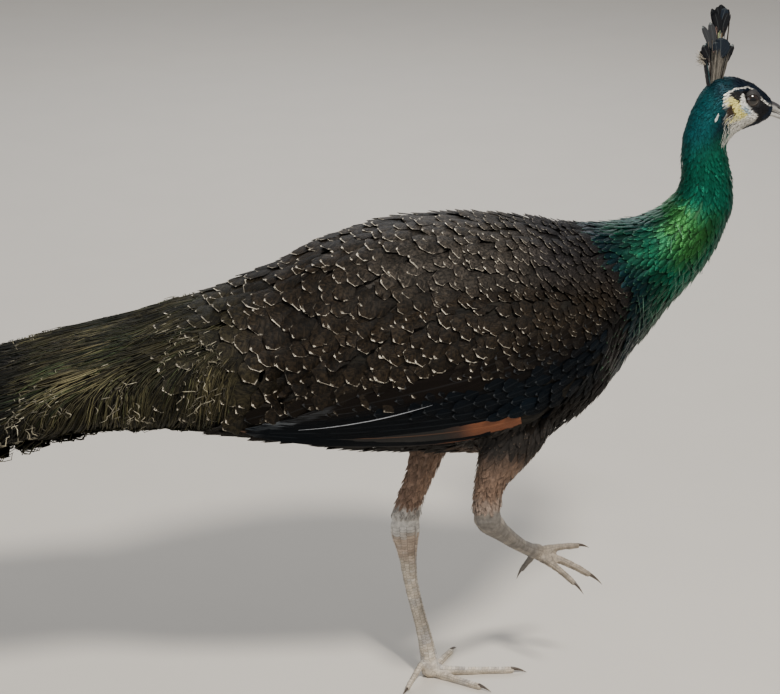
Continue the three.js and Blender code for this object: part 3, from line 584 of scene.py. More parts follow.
def plumage(p):
    """Colour of the coat at a place on the body."""
    arc, up, _ = spine_at(p)
    x, y, z = p.T
    w = wander(p, 22.0)
    w2 = wander(p, 9.0, 3.0)
    n = len(p)
    c = np.tile(NAVY, (n, 1)).astype(float)
    # teal on the nape side of the upper neck and dark blue on its throat side: partly the neck's own colours, partly
    # painted highlight on the nape and painted shade on the throat side
    c = mixc(c, TEAL, smooth(arc + 4 * w, 44, 78) * smooth(up, -10, 6))
    c = mixc(c, (0.002, 0.012, 0.026), smooth(arc, 50, 74) * smooth(up + 2 * w2, 5, -8) * smooth(arc, 150, 118) * 0.95)
    c = mixc(c, EMERALD, smooth(arc + 5 * w - 0.8 * up, 72, 122))
    c = mixc(c, (0.004, 0.060, 0.052), smooth(arc, 118, 150) * smooth(up, -18, -27) * smooth(arc, 215, 180) * 0.6)
    lime = smooth(arc + 6 * w + 3 * w2, 152, 184) * smooth(arc + 8 * w2, 240, 206) * smooth(up, 46, 24) * smooth(up, -30, -8)
    c = mixc(c, LIME, lime * 0.85)
    c = mixc(c, GREEN, smooth(arc + 8 * w, 222, 262))
    c = mixc(c, (0.001, 0.020, 0.022), smooth(up + 6 * w2, 22, 42) * smooth(arc, 178, 200) * smooth(arc, 262, 236) * 0.8)
    c = mixc(c, (0.002, 0.060, 0.085), smooth(arc + 8 * w, 262, 300) * smooth(up, 20, 60) * 0.8)
    c = mixc(c, BLUEBLACK, smooth(z + 10 * w, 452, 396) * smooth(arc, 255, 300))
    # the bronze back begins at a sharp slanting edge
    edge = np.interp(z, [330, 390, 433, 475, 517, 545, 570], [174, 182, 194, 196, 164, 134, 112]) + 3 * w2
    back = smooth(x, edge + 5, edge - 5)
    bronze = np.tile(BRONZE, (n, 1)).astype(float)
    # lighter and greyer along the top of the back: painted sheen where the light falls on it
    bronze = mixc(bronze, TOP_SHEEN, smooth(z, 478, 520) * smooth(x, -120, 20))
    bronze = mixc(bronze, (0.011, 0.010, 0.014), smooth(x, 70, 128) * smooth(z, 470, 515) * 0.7)
    bronze = mixc(bronze, OLIVE, smooth(x + 10 * w, -150, -215))
    bronze *= (1.0 + 0.16 * w + 0.12 * w2)[:, None]
    low = scapular_floor(x)
    # darker along and below the lower edge of the scale feathers: painted shade under their overhang
    bronze = mixc(bronze, SHADE_BROWN, smooth(z - low, 12, -8) * smooth(x, -235, -205))
    bronze = mixc(bronze, (0.003, 0.005, 0.007), smooth(z - low, -4, -20) * smooth(z, 366, 378) * smooth(x, -235, -200) * smooth(np.abs(y), 62, 84) * 0.9)
    c = mixc(c, (0.001, 0.011, 0.019), smooth(x, edge + 44 + 8 * w2, edge + 8) * smooth(arc, 225, 250) * 0.92)
    bronze = mixc(bronze, (0.0085, 0.0070, 0.0070), smooth(x, edge - 30, edge) * 0.8)
    c = mixc(c, bronze, back)
    # the brown mask and the next line darken the lower breast and the belly to near black: painted shade on the
    # underside of the body
    brown = smooth(x, 196, 150) * smooth(z + 8 * w, 408, 372) * (1 - back)
    c = mixc(c, (0.0035, 0.0038, 0.0042), brown)
    c = mixc(c, SHADE_BROWN, smooth(z + 5 * w2, 372, 350) * smooth(x, 165, 120))
    # legs; the raised right leg gets less of the tan and pale tones, so it is darker: painted shade, as it hangs in the
    # body's shadow
    share, tan, left = leg_share(p)
    hock = np.where(left, z, z - 72)
    leg = mixc(np.tile((0.010, 0.007, 0.005), (n, 1)).astype(float), (0.20, 0.125, 0.085), smooth(hock + 6 * w2, np.where(left, 286, 252), np.where(left, 250, 222)) * np.where(left, 1.0, 0.62))
    leg = mixc(leg, TAN, smooth(hock + 5 * w2, 252, 212) * np.where(left, 1.0, 0.30))
    leg = mixc(leg, (0.56, 0.52, 0.47), smooth(hock + 3 * w2, 200, 188) * np.where(left, 1.0, 0.15))
    c = mixc(c, leg, share)
    c = mixc(c, foot_colour(p), bare(p))
    head = arc < 108
    if head.any():
        c[head] = head_marks(p[head], c[head])
    return np.clip(c, 0, 1)


# ------------------------------------------------------------------ builders of pieces
PIECES = []


def unwrap(p):
    """A place on an unwrap of the body: length down it, and the way round it."""
    arc, up, _ = spine_at(p)
    round_ = np.arctan2(p[:, 1], up)
    return np.stack([arc, round_], 1)


def spread(uv):
    """Fits unwrapped places to the unit square."""
    lo, hi = uv.min(0), uv.max(0)
    return 0.02 + 0.96 * (uv - lo) / np.maximum(hi - lo, 1e-6)


def add_piece(name, co, faces, mat, tint=None, vane=None, uv=None, replaces=()):
    """co in millimetres. uv is per vertex, or per corner of each face."""
    me = make_mesh(name, metres(co), faces)
    if tint is not None:
        a = me.color_attributes.new("tint", "FLOAT_COLOR", "POINT")
        a.data.foreach_set("color", np.ascontiguousarray(tint, np.float32).ravel())
    if vane is not None:
        a = me.attributes.new("vane", "FLOAT_VECTOR", "POINT")
        a.data.foreach_set("vector", np.ascontiguousarray(vane, np.float32).ravel())
    if uv is not None:
        layer = me.uv_layers.new(name="OFBake")
        layer.data.foreach_set("uv", np.ascontiguousarray(uv[faces.ravel()] if len(uv) == len(co) else uv, np.float32).ravel())
    me.materials.append(mat)
    ob = bpy.data.objects.new(name, me)
    bpy.context.scene.collection.objects.link(ob)
    if replaces:
        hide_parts(*replaces)
    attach(ob, "root")
    PIECES.append((name, len(faces) * (faces.shape[1] - 2)))
    return ob


def template(K, M):
    """Faces of a closed vane of K rows and M columns: two grids that meet at their borders."""
    g = np.arange(K * M).reshape(K, M)
    top = np.stack([g[:-1, :-1], g[1:, :-1], g[1:, 1:], g[:-1, 1:]], -1).reshape(-1, 4)
    bottom = top[:, ::-1] + K * M
    return np.vstack([top, bottom])


def vanes(path, normal, half, camber, thick, M=3, ragged=0.0, curl=None, twist=None):
    """Closed blades along N paths of K points. half is N x K. Returns points (N, 2*K*M, 3), and the s, t of each."""
    N, K, _ = path.shape
    d = np.gradient(path, axis=1)
    d = unit(d)
    b = unit(np.cross(normal, d))
    n = unit(np.cross(d, b))
    s = np.linspace(-1, 1, M)
    wide = np.repeat(half[:, :, None], M, 2)
    if ragged > 0:
        jit = 1 + ragged * rng.normal(size=(N, K, M)) * (np.abs(s) > 0.9)
        wide = wide * np.clip(jit, 0.6, 1.3)
    off = b[:, :, None, :] * (s * wide)[..., None]
    sag = (camber[:, None, None] * np.abs(wide) * s ** 2)[..., None]
    top = path[:, :, None, :] + off - n[:, :, None, :] * sag
    if ragged > 0:
        top = top + d[:, :, None, :] * (rng.normal(size=(N, K, M)) * ragged * 0.8 * half[:, :, None])[..., None] * (np.arange(K) > 1)[None, :, None, None]
    rows = np.minimum(np.arange(K), np.arange(K)[::-1]) > 0
    core = (1 - s ** 2)[None, None, :] * rows[None, :, None]
    bottom = top - n[:, :, None, :] * (np.asarray(thick).reshape(-1, 1, 1) * core)[..., None]
    co = np.concatenate([top.reshape(N, K * M, 3), bottom.reshape(N, K * M, 3)], 1)
    t = np.linspace(0, 1, K)
    S = np.tile(np.repeat(s[None], K, 0).reshape(-1), 2)
    T = np.tile(np.repeat(t[:, None], M, 1).reshape(-1), 2)
    return co, S, T


def surface_paths(form, root, length, K, lift0, lift1, turn=None, flow_of=flow, bow=1.0, stiff=0.0):
    """Paths that follow the lie of the coat over the form, rising from lift0 to lift1."""
    N = len(root)
    pts, nor = form.near(root)
    path, norm = np.zeros((N, K, 3)), np.zeros((N, K, 3))
    p, n = pts, nor
    d = flow_of(p, n)
    if turn is not None:
        d = unit(d * np.cos(turn)[:, None] + np.cross(n, d) * np.sin(turn)[:, None])
    first = d
    step = (length / (K - 1))[:, None]
    for k in range(K):
        t = k / (K - 1)
        lift = lift0 + (lift1 - lift0) * t ** bow
        path[:, k] = p + n * np.reshape(lift, (-1, 1))
        norm[:, k] = n
        if k < K - 1:
            q = p + d * step
            q2, n2 = form.near(q)
            p = q2 * (1 - stiff) + q * stiff if stiff else q2
            n = unit(n2 * (1 - stiff) + n * stiff) if stiff else n2
            nd = flow_of(p, n)
            if turn is not None:
                nd = unit(nd * np.cos(turn)[:, None] + np.cross(n, nd) * np.sin(turn)[:, None])
            d = unit(0.5 * d + 0.5 * nd)
            d = unit(d - (d * n).sum(1, keepdims=True) * n)
    return path, norm, pts


def outline(t, full=0.42, point=0.5):
    """Half width along a feather, as a share: narrow root, full middle, rounded tip."""
    rise = smooth(t, -0.25, full) * 0.72 + 0.28
    tip = np.sqrt(np.clip(1 - (np.clip((t - full) / (1.0 - full), 0, 1)) ** (1 / point), 0, 1))
    return rise * np.maximum(tip, 0.05)


def coat(name, form, root, length, half, lift, mat, slot, colour, K=5, M=3, camber=0.15, thick=0.25, ragged=0.05, full=0.42, point=0.5,
         jitter=0.12, grade=(0.75, 1.05), rim=0.0, flow_of=flow, replaces=(), bow=1.0, base=0.0, stiff=0.0, tip=None, unwrap_of=None, settle=None):
    """One piece of overlapping feathers."""
    N = len(root)
    length = length * (1 + 0.12 * rng.normal(size=N).clip(-2, 2))
    path, norm, roots = surface_paths(form, root, length, K, base, lift * (1 + 0.25 * rng.normal(size=N).clip(-1.5, 1.5)),
                                      turn=jitter * rng.normal(size=N), flow_of=flow_of, bow=bow, stiff=stiff)
    t = np.linspace(0, 1, K)
    hw = half[:, None] * outline(t, full, point)[None] * (1 + 0.10 * rng.normal(size=(N, 1)).clip(-2, 2))
    co, S, T = vanes(path, norm, hw, np.full(N, camber), np.full(N, thick), M, ragged)
    if settle is not None:
        co = settle(co)
    V = co.shape[1]
    tpl = template(K, M)
    faces = (tpl[None] + (np.arange(N) * V)[:, None, None]).reshape(-1, 4)
    c = colour(roots) if callable(colour) else np.tile(colour, (N, 1))
    c = c * (1 + 0.14 * rng.normal(size=(N, 1)).clip(-1.8, 1.8))
    # each feather darker towards its root, by grade: painted shade where it lies under the feathers that overlap it
    g = lerp(grade[0], grade[1], T)
    col = c[:, None, :] * g[None, :, None]
    if tip is not None:
        col = tip(col, S, T, roots)
    rimv = np.broadcast_to(np.reshape(rim, (-1, 1)), (N, V)) if np.ndim(rim) else np.full((N, V), float(rim))
    tint = np.concatenate([np.clip(col, 0, 1), rimv[..., None]], 2).reshape(-1, 4)
    own = rng.random(N)
    vane = np.stack([np.tile(S, (N, 1)), np.tile(T, (N, 1)), np.repeat(own[:, None], V, 1)], -1).reshape(-1, 3)
    uv0 = spread(unwrap(roots)) if unwrap_of is None else 0.02 + 0.96 * unwrap_of(roots)
    uv = (uv0[:, None, :] + np.stack([S * 0.0014, (T - 0.5) * 0.0028], -1)[None]).reshape(-1, 2)
    return add_piece(name, co.reshape(-1, 3), faces, mat, tint, vane, uv, replaces)


def strands(name, path, radius, mat, tint, root_uv, own=None, replaces=(), sides=3):
    """Hair-like barbs: thin tapering prisms along N paths of K points."""
    N, K, _ = path.shape
    d = unit(np.gradient(path, axis=1))
    ref = np.tile([0.31, 0.77, 0.55], (N, K, 1))
    u = unit(np.cross(d, ref))
    v = np.cross(d, u)
    ang = 2 * np.pi * np.arange(sides) / sides
    ring = u[:, :, None, :] * np.cos(ang)[None, None, :, None] + v[:, :, None, :] * np.sin(ang)[None, None, :, None]
    co = path[:, :, None, :] + ring * radius[:, :, None, None]
    V = K * sides
    g = np.arange(V).reshape(K, sides)
    f = []
    for i in range(sides):
        j = (i + 1) % sides
        f.append(np.stack([g[:-1, i], g[1:, i], g[1:, j], g[:-1, j]], -1))
    f = np.vstack(f)
    faces = (f[None] + (np.arange(N) * V)[:, None, None]).reshape(-1, 4)
    t = np.repeat(np.linspace(0, 1, K), sides)
    S = np.tile(np.linspace(-1, 1, sides), K)
    own = rng.random(N) if own is None else own
    vane = np.stack([np.tile(S, (N, 1)), np.tile(t, (N, 1)), np.repeat(own[:, None], V, 1)], -1).reshape(-1, 3)
    col = tint if tint.ndim == 3 else np.repeat(tint[:, None, :], V, 1)
    if col.shape[2] == 3:
        col = np.concatenate([col, np.zeros((*col.shape[:2], 1))], 2)
    uv = (root_uv[:, None, :] + np.stack([S * 0.0012, (t - 0.5) * 0.0028], -1)[None]).reshape(-1, 2)
    return add_piece(name, co.reshape(-1, 3), faces, mat, np.clip(col, 0, 1).reshape(-1, 4), vane, uv, replaces)


# ------------------------------------------------------------------ skin
COAT_DEPTH = {"head": 1.2, "neck": 3.0, "trunk": 6.0, "rump": 6.0, "thigh": 3.5, "shank": 1.6, "tarsus": 0.5, "toe": 0.4}


def coat_depth(p):
    arc, up, _ = spine_at(p)
    d = np.interp(arc, [0, 40, 80, 120, 220, 300, 1200], [0.7, 1.2, 2.0, 2.6, 4.0, 6.0, 6.0])
    d = lerp(d, 0.7, face_share(p) * (arc < 110))
    share, tan, left = leg_share(p)
    hock = np.where(left, p[:, 2], p[:, 2] - 72)
    leg = np.interp(hock, [0, 174, 190, 250, 300], [0.4, 0.5, 1.5, 3.0, 4.5])
    d = d * (1 - share) + leg * share
    low = (p[:, 2] < 176) | ((p[:, 2] < 246) & (p[:, 1] < 20) & (p[:, 0] > 20))
    return np.where(low, 0.4, d)


def skin_uv(p, faces):
    """Unwrap of the skin, by corner: body, two legs and two feet in areas of their own, each cut along one line."""
    c = p[faces].mean(1)
    q = p[faces.ravel()]
    nz = np.cross(p[faces[:, 2]] - p[faces[:, 0]], p[faces[:, 3]] - p[faces[:, 1]])[:, 2]
    dl, dr = leg_at(c, "l")[0], leg_at(c, "r")[0]
    leg = ((np.where(c[:, 1] > 25, dl, dr) < 46) | (c[:, 2] < 262)) & (c[:, 2] < 345)
    foot_l = c[:, 2] < 23
    foot_r = (c[:, 0] > 110) & (c[:, 2] < 178) & ~foot_l
    left = np.where(c[:, 2] < 120, ~foot_r, c[:, 1] > 25)
    arc, up, _ = spine_at(q)
    ang = np.arctan2(q[:, 1], up)
    carc, cup, _ = spine_at(c)
    mid = np.repeat(np.arctan2(c[:, 1], cup), 4)
    ang = mid + (ang - mid + np.pi) % (2 * np.pi) - np.pi
    uv = np.stack([0.02 + 0.96 * np.interp(arc, [0, 120, 330, 950], [0, 0.34, 0.62, 1.0]), 0.22 + 0.17 * ang / np.pi], 1)
    for k, tag in enumerate("lr"):
        m = np.repeat(leg & (left == (tag == "l")), 4)
        pl = leg_round(q[m], tag)
        cc = np.repeat(leg_round(c[leg & (left == (tag == "l"))], tag)[:, 1], 4)
        a = cc + (pl[:, 1] - cc + 0.5) % 1.0 - 0.5
        uv[m] = np.stack([0.02 + 0.96 * pl[:, 0], 0.50 + 0.19 * k + 0.15 * (a - 0.5)], 1)
    for k, (m, at) in enumerate(((foot_l & (nz > 0), (60, 0)), (foot_l & (nz <= 0), (60, 0)), (foot_r & (nz > 0), (150, 0)), (foot_r & (nz <= 0), (150, 0)))):
        m = np.repeat(m, 4)
        flat = (q[m][:, :2] - np.array(at)) / 260.0
        uv[m] = np.array([0.14 + 0.24 * k, 0.89]) + np.clip(flat, -0.5, 0.5) * [0.22, 0.18]
    return np.clip(uv, 0.002, 0.998)


def leg_round(p, tag):
    """Share of the length down a leg, and of the way round it."""
    L = LEG[tag]
    best, along, c = np.full(len(p), 1e18), np.zeros(len(p)), np.zeros_like(p)
    s0 = 0.0
    for i in range(len(L) - 1):
        d = L[i + 1] - L[i]
        n = np.linalg.norm(d)
        d = d / n
        t = np.clip((p - L[i]) @ d, 0, n)
        e = p - L[i] - t[:, None] * d
        r2 = (e ** 2).sum(1)
        b = r2 < best
        best, along = np.where(b, r2, best), np.where(b, s0 + t, along)
        c[b] = e[b]
        s0 += n
    return np.stack([along / s0, np.arctan2(c[:, 1], c[:, 0]) / (2 * np.pi) + 0.5], 1)


def skin_piece():
    co, faces = remeshed(FLESH, 0.0025, 0.0005, 3)
    mm = co / MM - np.array([X0, 0, 0])
    n = point_normals(mm, faces)
    d = coat_depth(mm) + 0.5
    mm = mm - n * d[:, None]
    return mm, faces


def labels(p):
    """Name of the nearest CAD solid to each point."""
    return [LABEL_NAMES[LABEL_OF[h[2]]] for h in map(LABEL_TREE.find_nearest, p.tolist())]


def label_tree(names):
    global LABEL_TREE, LABEL_OF, LABEL_NAMES
    pts, tris, of, base = [], [], [], 0
    for k, n in enumerate(names):
        co, tri = weld(*read(NODES[n]))
        pts.append(co / MM - np.array([X0, 0, 0]))
        tris.append(tri + base)
        of += [k] * len(tri)
        base += len(co)
    LABEL_TREE = BVHTree.FromPolygons([tuple(q) for q in np.vstack(pts)], [tuple(t) for t in np.vstack(tris).tolist()])
    LABEL_OF, LABEL_NAMES = of, list(names)


def near_spacing(p):
    """Distance between the roots of contour feathers, by place."""
    arc, up, _ = spine_at(p)
    x, z = p[:, 0], p[:, 2]
    neck = np.interp(arc, [0, 30, 60, 100, 150, 185, 230, 290, 340], [1.5, 1.6, 1.9, 2.4, 3.2, 4.2, 4.6, 5.0, 6.2])
    back = np.interp(x, [-260, -180, -90, 0, 60, 110, 150], [12.2, 11.8, 11.0, 9.8, 7.8, 6.6, 6.0])
    body = smooth(arc, 300, 345)
    under = smooth(z, 372, 352)
    r = lerp(neck, back, body)
    r = lerp(r, np.minimum(r, 8.5), under * body)
    return r


def body_coat():
    f = FORM
    p, n, _ = f.scatter(130000, 1.0 / near_spacing(f.co[f.faces].mean(1)) ** 2)
    share, _, _ = leg_share(p)
    arc, up, _ = spine_at(p)
    lab = np.array(labels(p))
    is_wing = np.array([a.startswith(("wing", "primaries")) for a in lab])
    is_train = np.array([a.startswith(("train", "tail")) for a in lab])
    face = face_share(p) * (arc < 110) > 0.5
    low = scapular_floor(p[:, 0])
    wing_zone = is_wing & (p[:, 2] < low - 2)
    keep = (share < 0.5) & ~wing_zone & ~(is_train & (p[:, 0] < -262 + 16 * wander(p, 15.0, 2.0))) & ~face
    p, arc = p[keep], arc[keep]
    r = near_spacing(p)
    k = thin_out(p, r)
    p, r, arc = p[k], r[k], arc[k]
    x, y, z = p.T
    edge = np.interp(z, [330, 390, 433, 475, 517, 545, 570], [174, 182, 194, 196, 164, 134, 112])
    head = arc < 112
    back = (x < edge - 4) & (z > scapular_floor(x) - 14) & ((z > 372) | (x < -170)) & ~head
    neck = ~back & ~head & (x > edge - 30) & (arc < 330)
    lab = np.array(labels(p))
    vent = ~back & ~head & ~neck & (np.array([a.startswith("vent") for a in lab]) | ((x < -120) & (z < 345)))
    rest = ~back & ~head & ~neck & ~vent
    upper = neck & (arc < 196)
    lower = neck & (arc >= 196)

    # strength of the light feather edges, uneven by place and weaker low on the sides and towards the neck: partly pale
    # fringes, partly painted highlight
    rims = 0.45 + 0.55 * smooth(wander(p, 34.0, 5.0) + 0.25 * rng.normal(size=len(p)), -0.8, 0.2)
    rims *= smooth(z - scapular_floor(x), -6, 10) * lerp(0.5, 1.0, smooth(x, 120, 50))

    def go(name, m, mat, slot, ln, wd, lift, **kw):
        if m.any():
            coat(name, f, p[m], r[m] * ln, r[m] * wd, lift, mat, slot, plumage, **kw)

    gloss = feather_material("plumage_neck", rough=0.40, metal=0.72, spec=0.25, rim=(0.10, 0.26, 0.14), contrast=0.6, stripe=14, slant=5, bump=0.5)
    crown = feather_material("plumage_crown", rough=0.46, metal=0.55, spec=0.25, rim=(0.02, 0.10, 0.16), contrast=0.5, stripe=10, slant=4, bump=0.4)
    brown = feather_material("plumage_back", rough=0.60, metal=0.0, spec=0.13, rim=(0.80, 0.72, 0.58), contrast=0.8, stripe=30, slant=10, bump=0.9, mottle=0.6, rim_from=0.935, side=0.75)
    dark = feather_material("plumage_breast", rough=0.66, metal=0.0, spec=0.10, rim=(0.05, 0.04, 0.03), contrast=0.6, stripe=20, slant=8, bump=0.5)
    go("coat_head", head, crown, "crown", 2.9, 0.75, 0.9, K=4, M=3, camber=0.35, thick=0.12, base=0.1)
    go("coat_neck_upper", upper, gloss, "neck_feathers", 2.7, 0.72, 1.6, K=4, M=3, camber=0.3, thick=0.15, rim=0.15)
    go("coat_neck_lower", lower, gloss, "neck_feathers", 3.1, 0.66, 2.0, K=6, M=5, camber=0.22, thick=0.2, rim=0.5, point=0.6, grade=(0.45, 1.15))
    for tag, half in (("l", back & (y > 0)), ("r", back & (y <= 0))):
        go("coat_back_" + tag, half, brown, "back_feathers", 2.7, 0.94, 4.0, K=8, M=7, camber=0.15, thick=0.3, rim=rims[half], point=0.24, full=0.60, grade=(0.25, 1.0), ragged=0.10, jitter=0.18)
    fluff = feather_material("plumage_vent", rough=0.7, metal=0.0, spec=0.10, rim=(0.09, 0.08, 0.07), contrast=0.7, stripe=26, slant=20, bump=0.6)
    go("coat_vent", vent, fluff, "vent_down", 4.2, 0.80, 4.0, K=7, M=5, camber=0.25, thick=0.25, rim=0.3, ragged=0.22, jitter=0.35, point=0.5)
    go("coat_breast", rest, dark, "breast", 2.5, 0.66, 2.6, K=6, M=3, camber=0.25, thick=0.25, rim=0.15, ragged=0.1, jitter=0.2)


# ------------------------------------------------------------------ wings
WING_TIP = np.array([-236.0, 0.0, 353.0])


def wing_flow(p, n):
    v = WING_TIP + np.array([0, 1, 0]) * p[:, 1:2] - p
    v[:, 1] = 0
    v = unit(v)
    v[:, 2] -= 0.10 * smooth(p[:, 0], -60, 80)
    v = v - (v * n).sum(1, keepdims=True) * n
    return unit(v)


def blade(a, b, sag, K, side, form, lift0, lift1, out=130.0):
    """A path on the flank from (x, z) a to b with a downward sag, projected to the form."""
    t = np.linspace(0, 1, K)[:, None]
    a, b = np.asarray(a, float), np.asarray(b, float)
    mid = (a + b) / 2 + [0, -sag]
    q = (1 - t) ** 2 * a + 2 * t * (1 - t) * mid + t ** 2 * b
    pts = np.stack([q[:, 0], np.full(K, side * out), q[:, 1]], 1)
    hit = []
    for p in pts.tolist():
        loc, nor, k, _ = form.tree.ray_cast(p, (0, -side, 0))
        hit.append(loc if loc is not None else form.tree.find_nearest(p)[0])
    hit = np.array(hit)
    y = hit[:, 1].copy()
    for _ in range(4):
        y[1:-1] = (y[:-2] + 2 * y[1:-1] + y[2:]) / 4
    hit[:, 1] = np.where(np.abs(y) > np.abs(hit[:, 1]), y, hit[:, 1] * 0.5 + y * 0.5)
    _, n = form.near(hit)
    for _ in range(3):
        n[1:-1] = unit(n[:-2] + 2 * n[1:-1] + n[2:])
    lift = lerp(lift0, lift1, t[:, 0])
    return hit + n * lift[:, None], n


def underlay(name, nodes, inset, voxel, mat, replaces=()):
    """Down under loose feathers, in near black: partly the down's own dark colour, partly painted shade in the gaps
    between the feathers.
    """
    co, faces = remeshed(nodes, voxel, 0.0, 2)
    mm = co / MM - np.array([X0, 0, 0])
    mm = mm - point_normals(mm, faces) * inset
    uv = spread(np.stack([mm[:, 0], np.arctan2(mm[:, 1] - mm[:, 1].mean(), mm[:, 2] - mm[:, 2].mean())], 1))
    add_piece(name, mm, faces, mat, uv=uv, replaces=replaces)
    return mm, faces


def shaded_down_material():
    g = Graph("down_painted_shade")
    place = g.t.nodes.new("ShaderNodeTexCoord").outputs["Object"]
    fuzz = g.noise(g.node("Mapping", {}, {"Vector": place, "Scale": (40.0, 300.0, 300.0)}), 1.0, 4.0)
    # near black: partly the down's own colour, partly painted shade between the feathers
    return g.finish(g.mix(g.ramp(fuzz, 0.3, 0.7), (0.003, 0.0026, 0.002), (0.012, 0.010, 0.007)), 0.8, g.bump(fuzz, 0.6, 0.002), **{"Specular IOR Level": 0.2})


def tuck(co, wide=126.0):
    """Keeps the fullest part of the sides within the bird's width."""
    y = np.abs(co[..., 1])
    over = np.maximum(y - wide, 0)
    co[..., 1] = np.sign(co[..., 1]) * (np.minimum(y, wide) + over * 0.45)
    return co


def wings():
    down = shaded_down_material()
    for tag in "lr":
        underlay("wing_down_" + tag, ["wing_" + tag], 1.6, 0.0028, down)
    underlay("vent_down", ["vent_coverts"], 2.0, 0.004, down, ["vent_coverts"])
    glossy = feather_material("plumage_wing", rough=0.56, metal=0.0, spec=0.05, rim=(0.10, 0.11, 0.12), contrast=0.5, stripe=70, slant=26, bump=0.6, shaft=0.06)
    rusty = feather_material("plumage_rufous", rough=0.6, spec=0.3, rim=(0.30, 0.13, 0.06), contrast=0.45, stripe=60, slant=22, bump=0.45, shaft=0.2)
    for tag, side in (("l", 1), ("r", -1)):
        paths, norms, halfs, cols, rims = [], [], [], [], []
        K = 18
        t = np.linspace(0, 1, K)
        for i in range(11):
            u = i / 10
            root = (lerp(132, 40, u ** 0.8), lerp(440, 350, u))
            tip = (lerp(-140, -208, min(u * 1.25, 1)) - (i % 2) * 3, lerp(375, 350.5, min(u * 1.2, 1)))
            path, nn = blade(root, tip, lerp(3, 15, u), K, side, FORM, lerp(3.0, 1.2, u), lerp(4.6, 1.8, u))
            paths.append(path)
            norms.append(nn)
            halfs.append(lerp(15.5, 11.5, u) * outline(t, 0.3, 0.5) * lerp(1, 0.75, t))
            c = lerp(np.array([0.0065, 0.0048, 0.0040]), np.array(WINGBLACK), min(u * 2.2, 1))
            cols.append(c)
            rims.append(1.0 if i in (4, 5) else 0.25)
        co, S, T = vanes(np.array(paths), np.array(norms), np.array(halfs), np.full(11, 0.10), np.full(11, 0.5), 9, 0.012)
        emit("wing_flights_" + tag, tuck(co), S, T, 18, 9, np.array(cols), glossy, rims, ["wing_" + tag])
        # primaries: rufous, tucked under the secondaries, with their tips just behind
        paths, norms, halfs, cols = [], [], [], []
        for i in range(6):
            u = i / 5
            root = (lerp(70, 50, u), lerp(362, 352, u))
            tip = (lerp(-196, -222, u), lerp(350, 354, u))
            path, nn = blade(root, tip, lerp(22, 27, u), K, side, FORM, 0.5 + 0.35 * (5 - i), 0.2 + 0.2 * (5 - i))
            paths.append(path)
            norms.append(nn)
            halfs.append(10.5 * outline(t, 0.25, 0.6) * lerp(1, 0.6, t))
            cols.append(RUFOUS)
        co, S, T = vanes(np.array(paths), np.array(norms), np.array(halfs), np.full(6, 0.08), np.full(6, 0.5), 7, 0.012)

        def fade(col, T):
            k = smooth(T, 0.16, 0.26)[None, :, None]
            return col * (1 - k) + np.array([0.004, 0.0035, 0.0035]) * k
        emit("wing_primaries_" + tag, tuck(co), S, T, 18, 7, np.array(cols), rusty, [0.2] * 6, ["primaries_" + tag], fade)
        # the fine light edge of one long feather
        edge, _ = blade((-20, 386), (-150, 358), 7, 12, side, FORM, 7.0, 6.2)
        edge = tuck(edge)[None]
        hair = Graph("feather_edge_" + tag)
        mt = hair.finish(hair.scale(hair.attr("tint", "Color"), hair.ramp(hair.noise(hair.attr("vane"), 7.0, 3.0), 0.3, 0.7, 0.5, 1.2)), 0.5)
        strands("wing_edge_" + tag, edge, np.array([[0.15, 0.35, 0.5, 0.6, 0.6, 0.6, 0.6, 0.55, 0.5, 0.4, 0.3, 0.15]]), mt, np.array([[0.30, 0.31, 0.33]]), np.array([[0.5, 0.5]]))
    # coverts over the flight feathers
    p, n, _ = FORM.scatter(60000)
    lab = labels(p)
    m = np.array([a.startswith("wing") for a in lab])
    p = p[m]
    low = scapular_floor(p[:, 0])
    x, z = p[:, 0], p[:, 2]
    floor = np.interp(x, [-220, -120, -40, 40, 100, 170], [372, 372, 375, 372, 366, 380])
    m = (z < low + 8) & (z > floor) & (x > -175)
    p = p[m]
    r = np.interp(p[:, 0], [-180, -60, 60, 160], [13, 12, 9.5, 6.5])
    k = thin_out(p, r)
    p, r = p[k], r[k]

    def tone(q):
        lowq = scapular_floor(q[:, 0])
        c = mixc(np.tile((0.0022, 0.0036, 0.0056), (len(q), 1)).astype(float), (0.008, 0.006, 0.0045), smooth(q[:, 2] - lowq, -22, 0))
        return mixc(c, (0.002, 0.007, 0.013), smooth(wander(q, 30, 2.0), -0.1, 0.8) * smooth(q[:, 2] - lowq, -8, -26))
    coat("wing_coverts", FORM, p, r * 2.5, r * 0.72, 4.2, glossy, "wing_feathers", tone, K=7, M=5, camber=0.14, thick=0.3, rim=0.35, flow_of=wing_flow,
         ragged=0.03, jitter=0.08, base=1.5, grade=(0.8, 1.05))


def emit(name, co, S, T, K, M, cols, mat, rims, replaces=(), shade=None, patch_at=None):
    """A piece from vanes made one by one."""
    N, V = co.shape[:2]
    faces = (template(K, M)[None] + (np.arange(N) * V)[:, None, None]).reshape(-1, 4)
    col = cols[:, None, :] * np.ones((1, V, 1))
    if shade is not None:
        col = shade(col, T)
    rim = np.asarray(rims, float)[:, None] * np.ones((1, V))
    tint = np.concatenate([np.clip(col, 0, 1), rim[..., None]], 2).reshape(-1, 4)
    own = rng.random(N)
    vane = np.stack([np.tile(S, (N, 1)), np.tile(T, (N, 1)), np.repeat(own[:, None], V, 1)], -1).reshape(-1, 3)
    # each large feather has a strip of its own on the unwrap, in the order of the roots
    lane = np.arange(N)
    u0 = (lane + 0.5) / N
    uv = np.stack([u0[:, None] + S[None] * 0.42 / N, 0.03 + 0.94 * np.tile(T, (N, 1))], -1)
    if patch_at is not None:
        uv = patch_at[:, None, :] + np.stack([S, T * 2 - 1], -1)[None] * 0.0035
    uv = uv.reshape(-1, 2)
    return add_piece(name, co.reshape(-1, 3), faces, mat, tint, vane, uv, replaces)


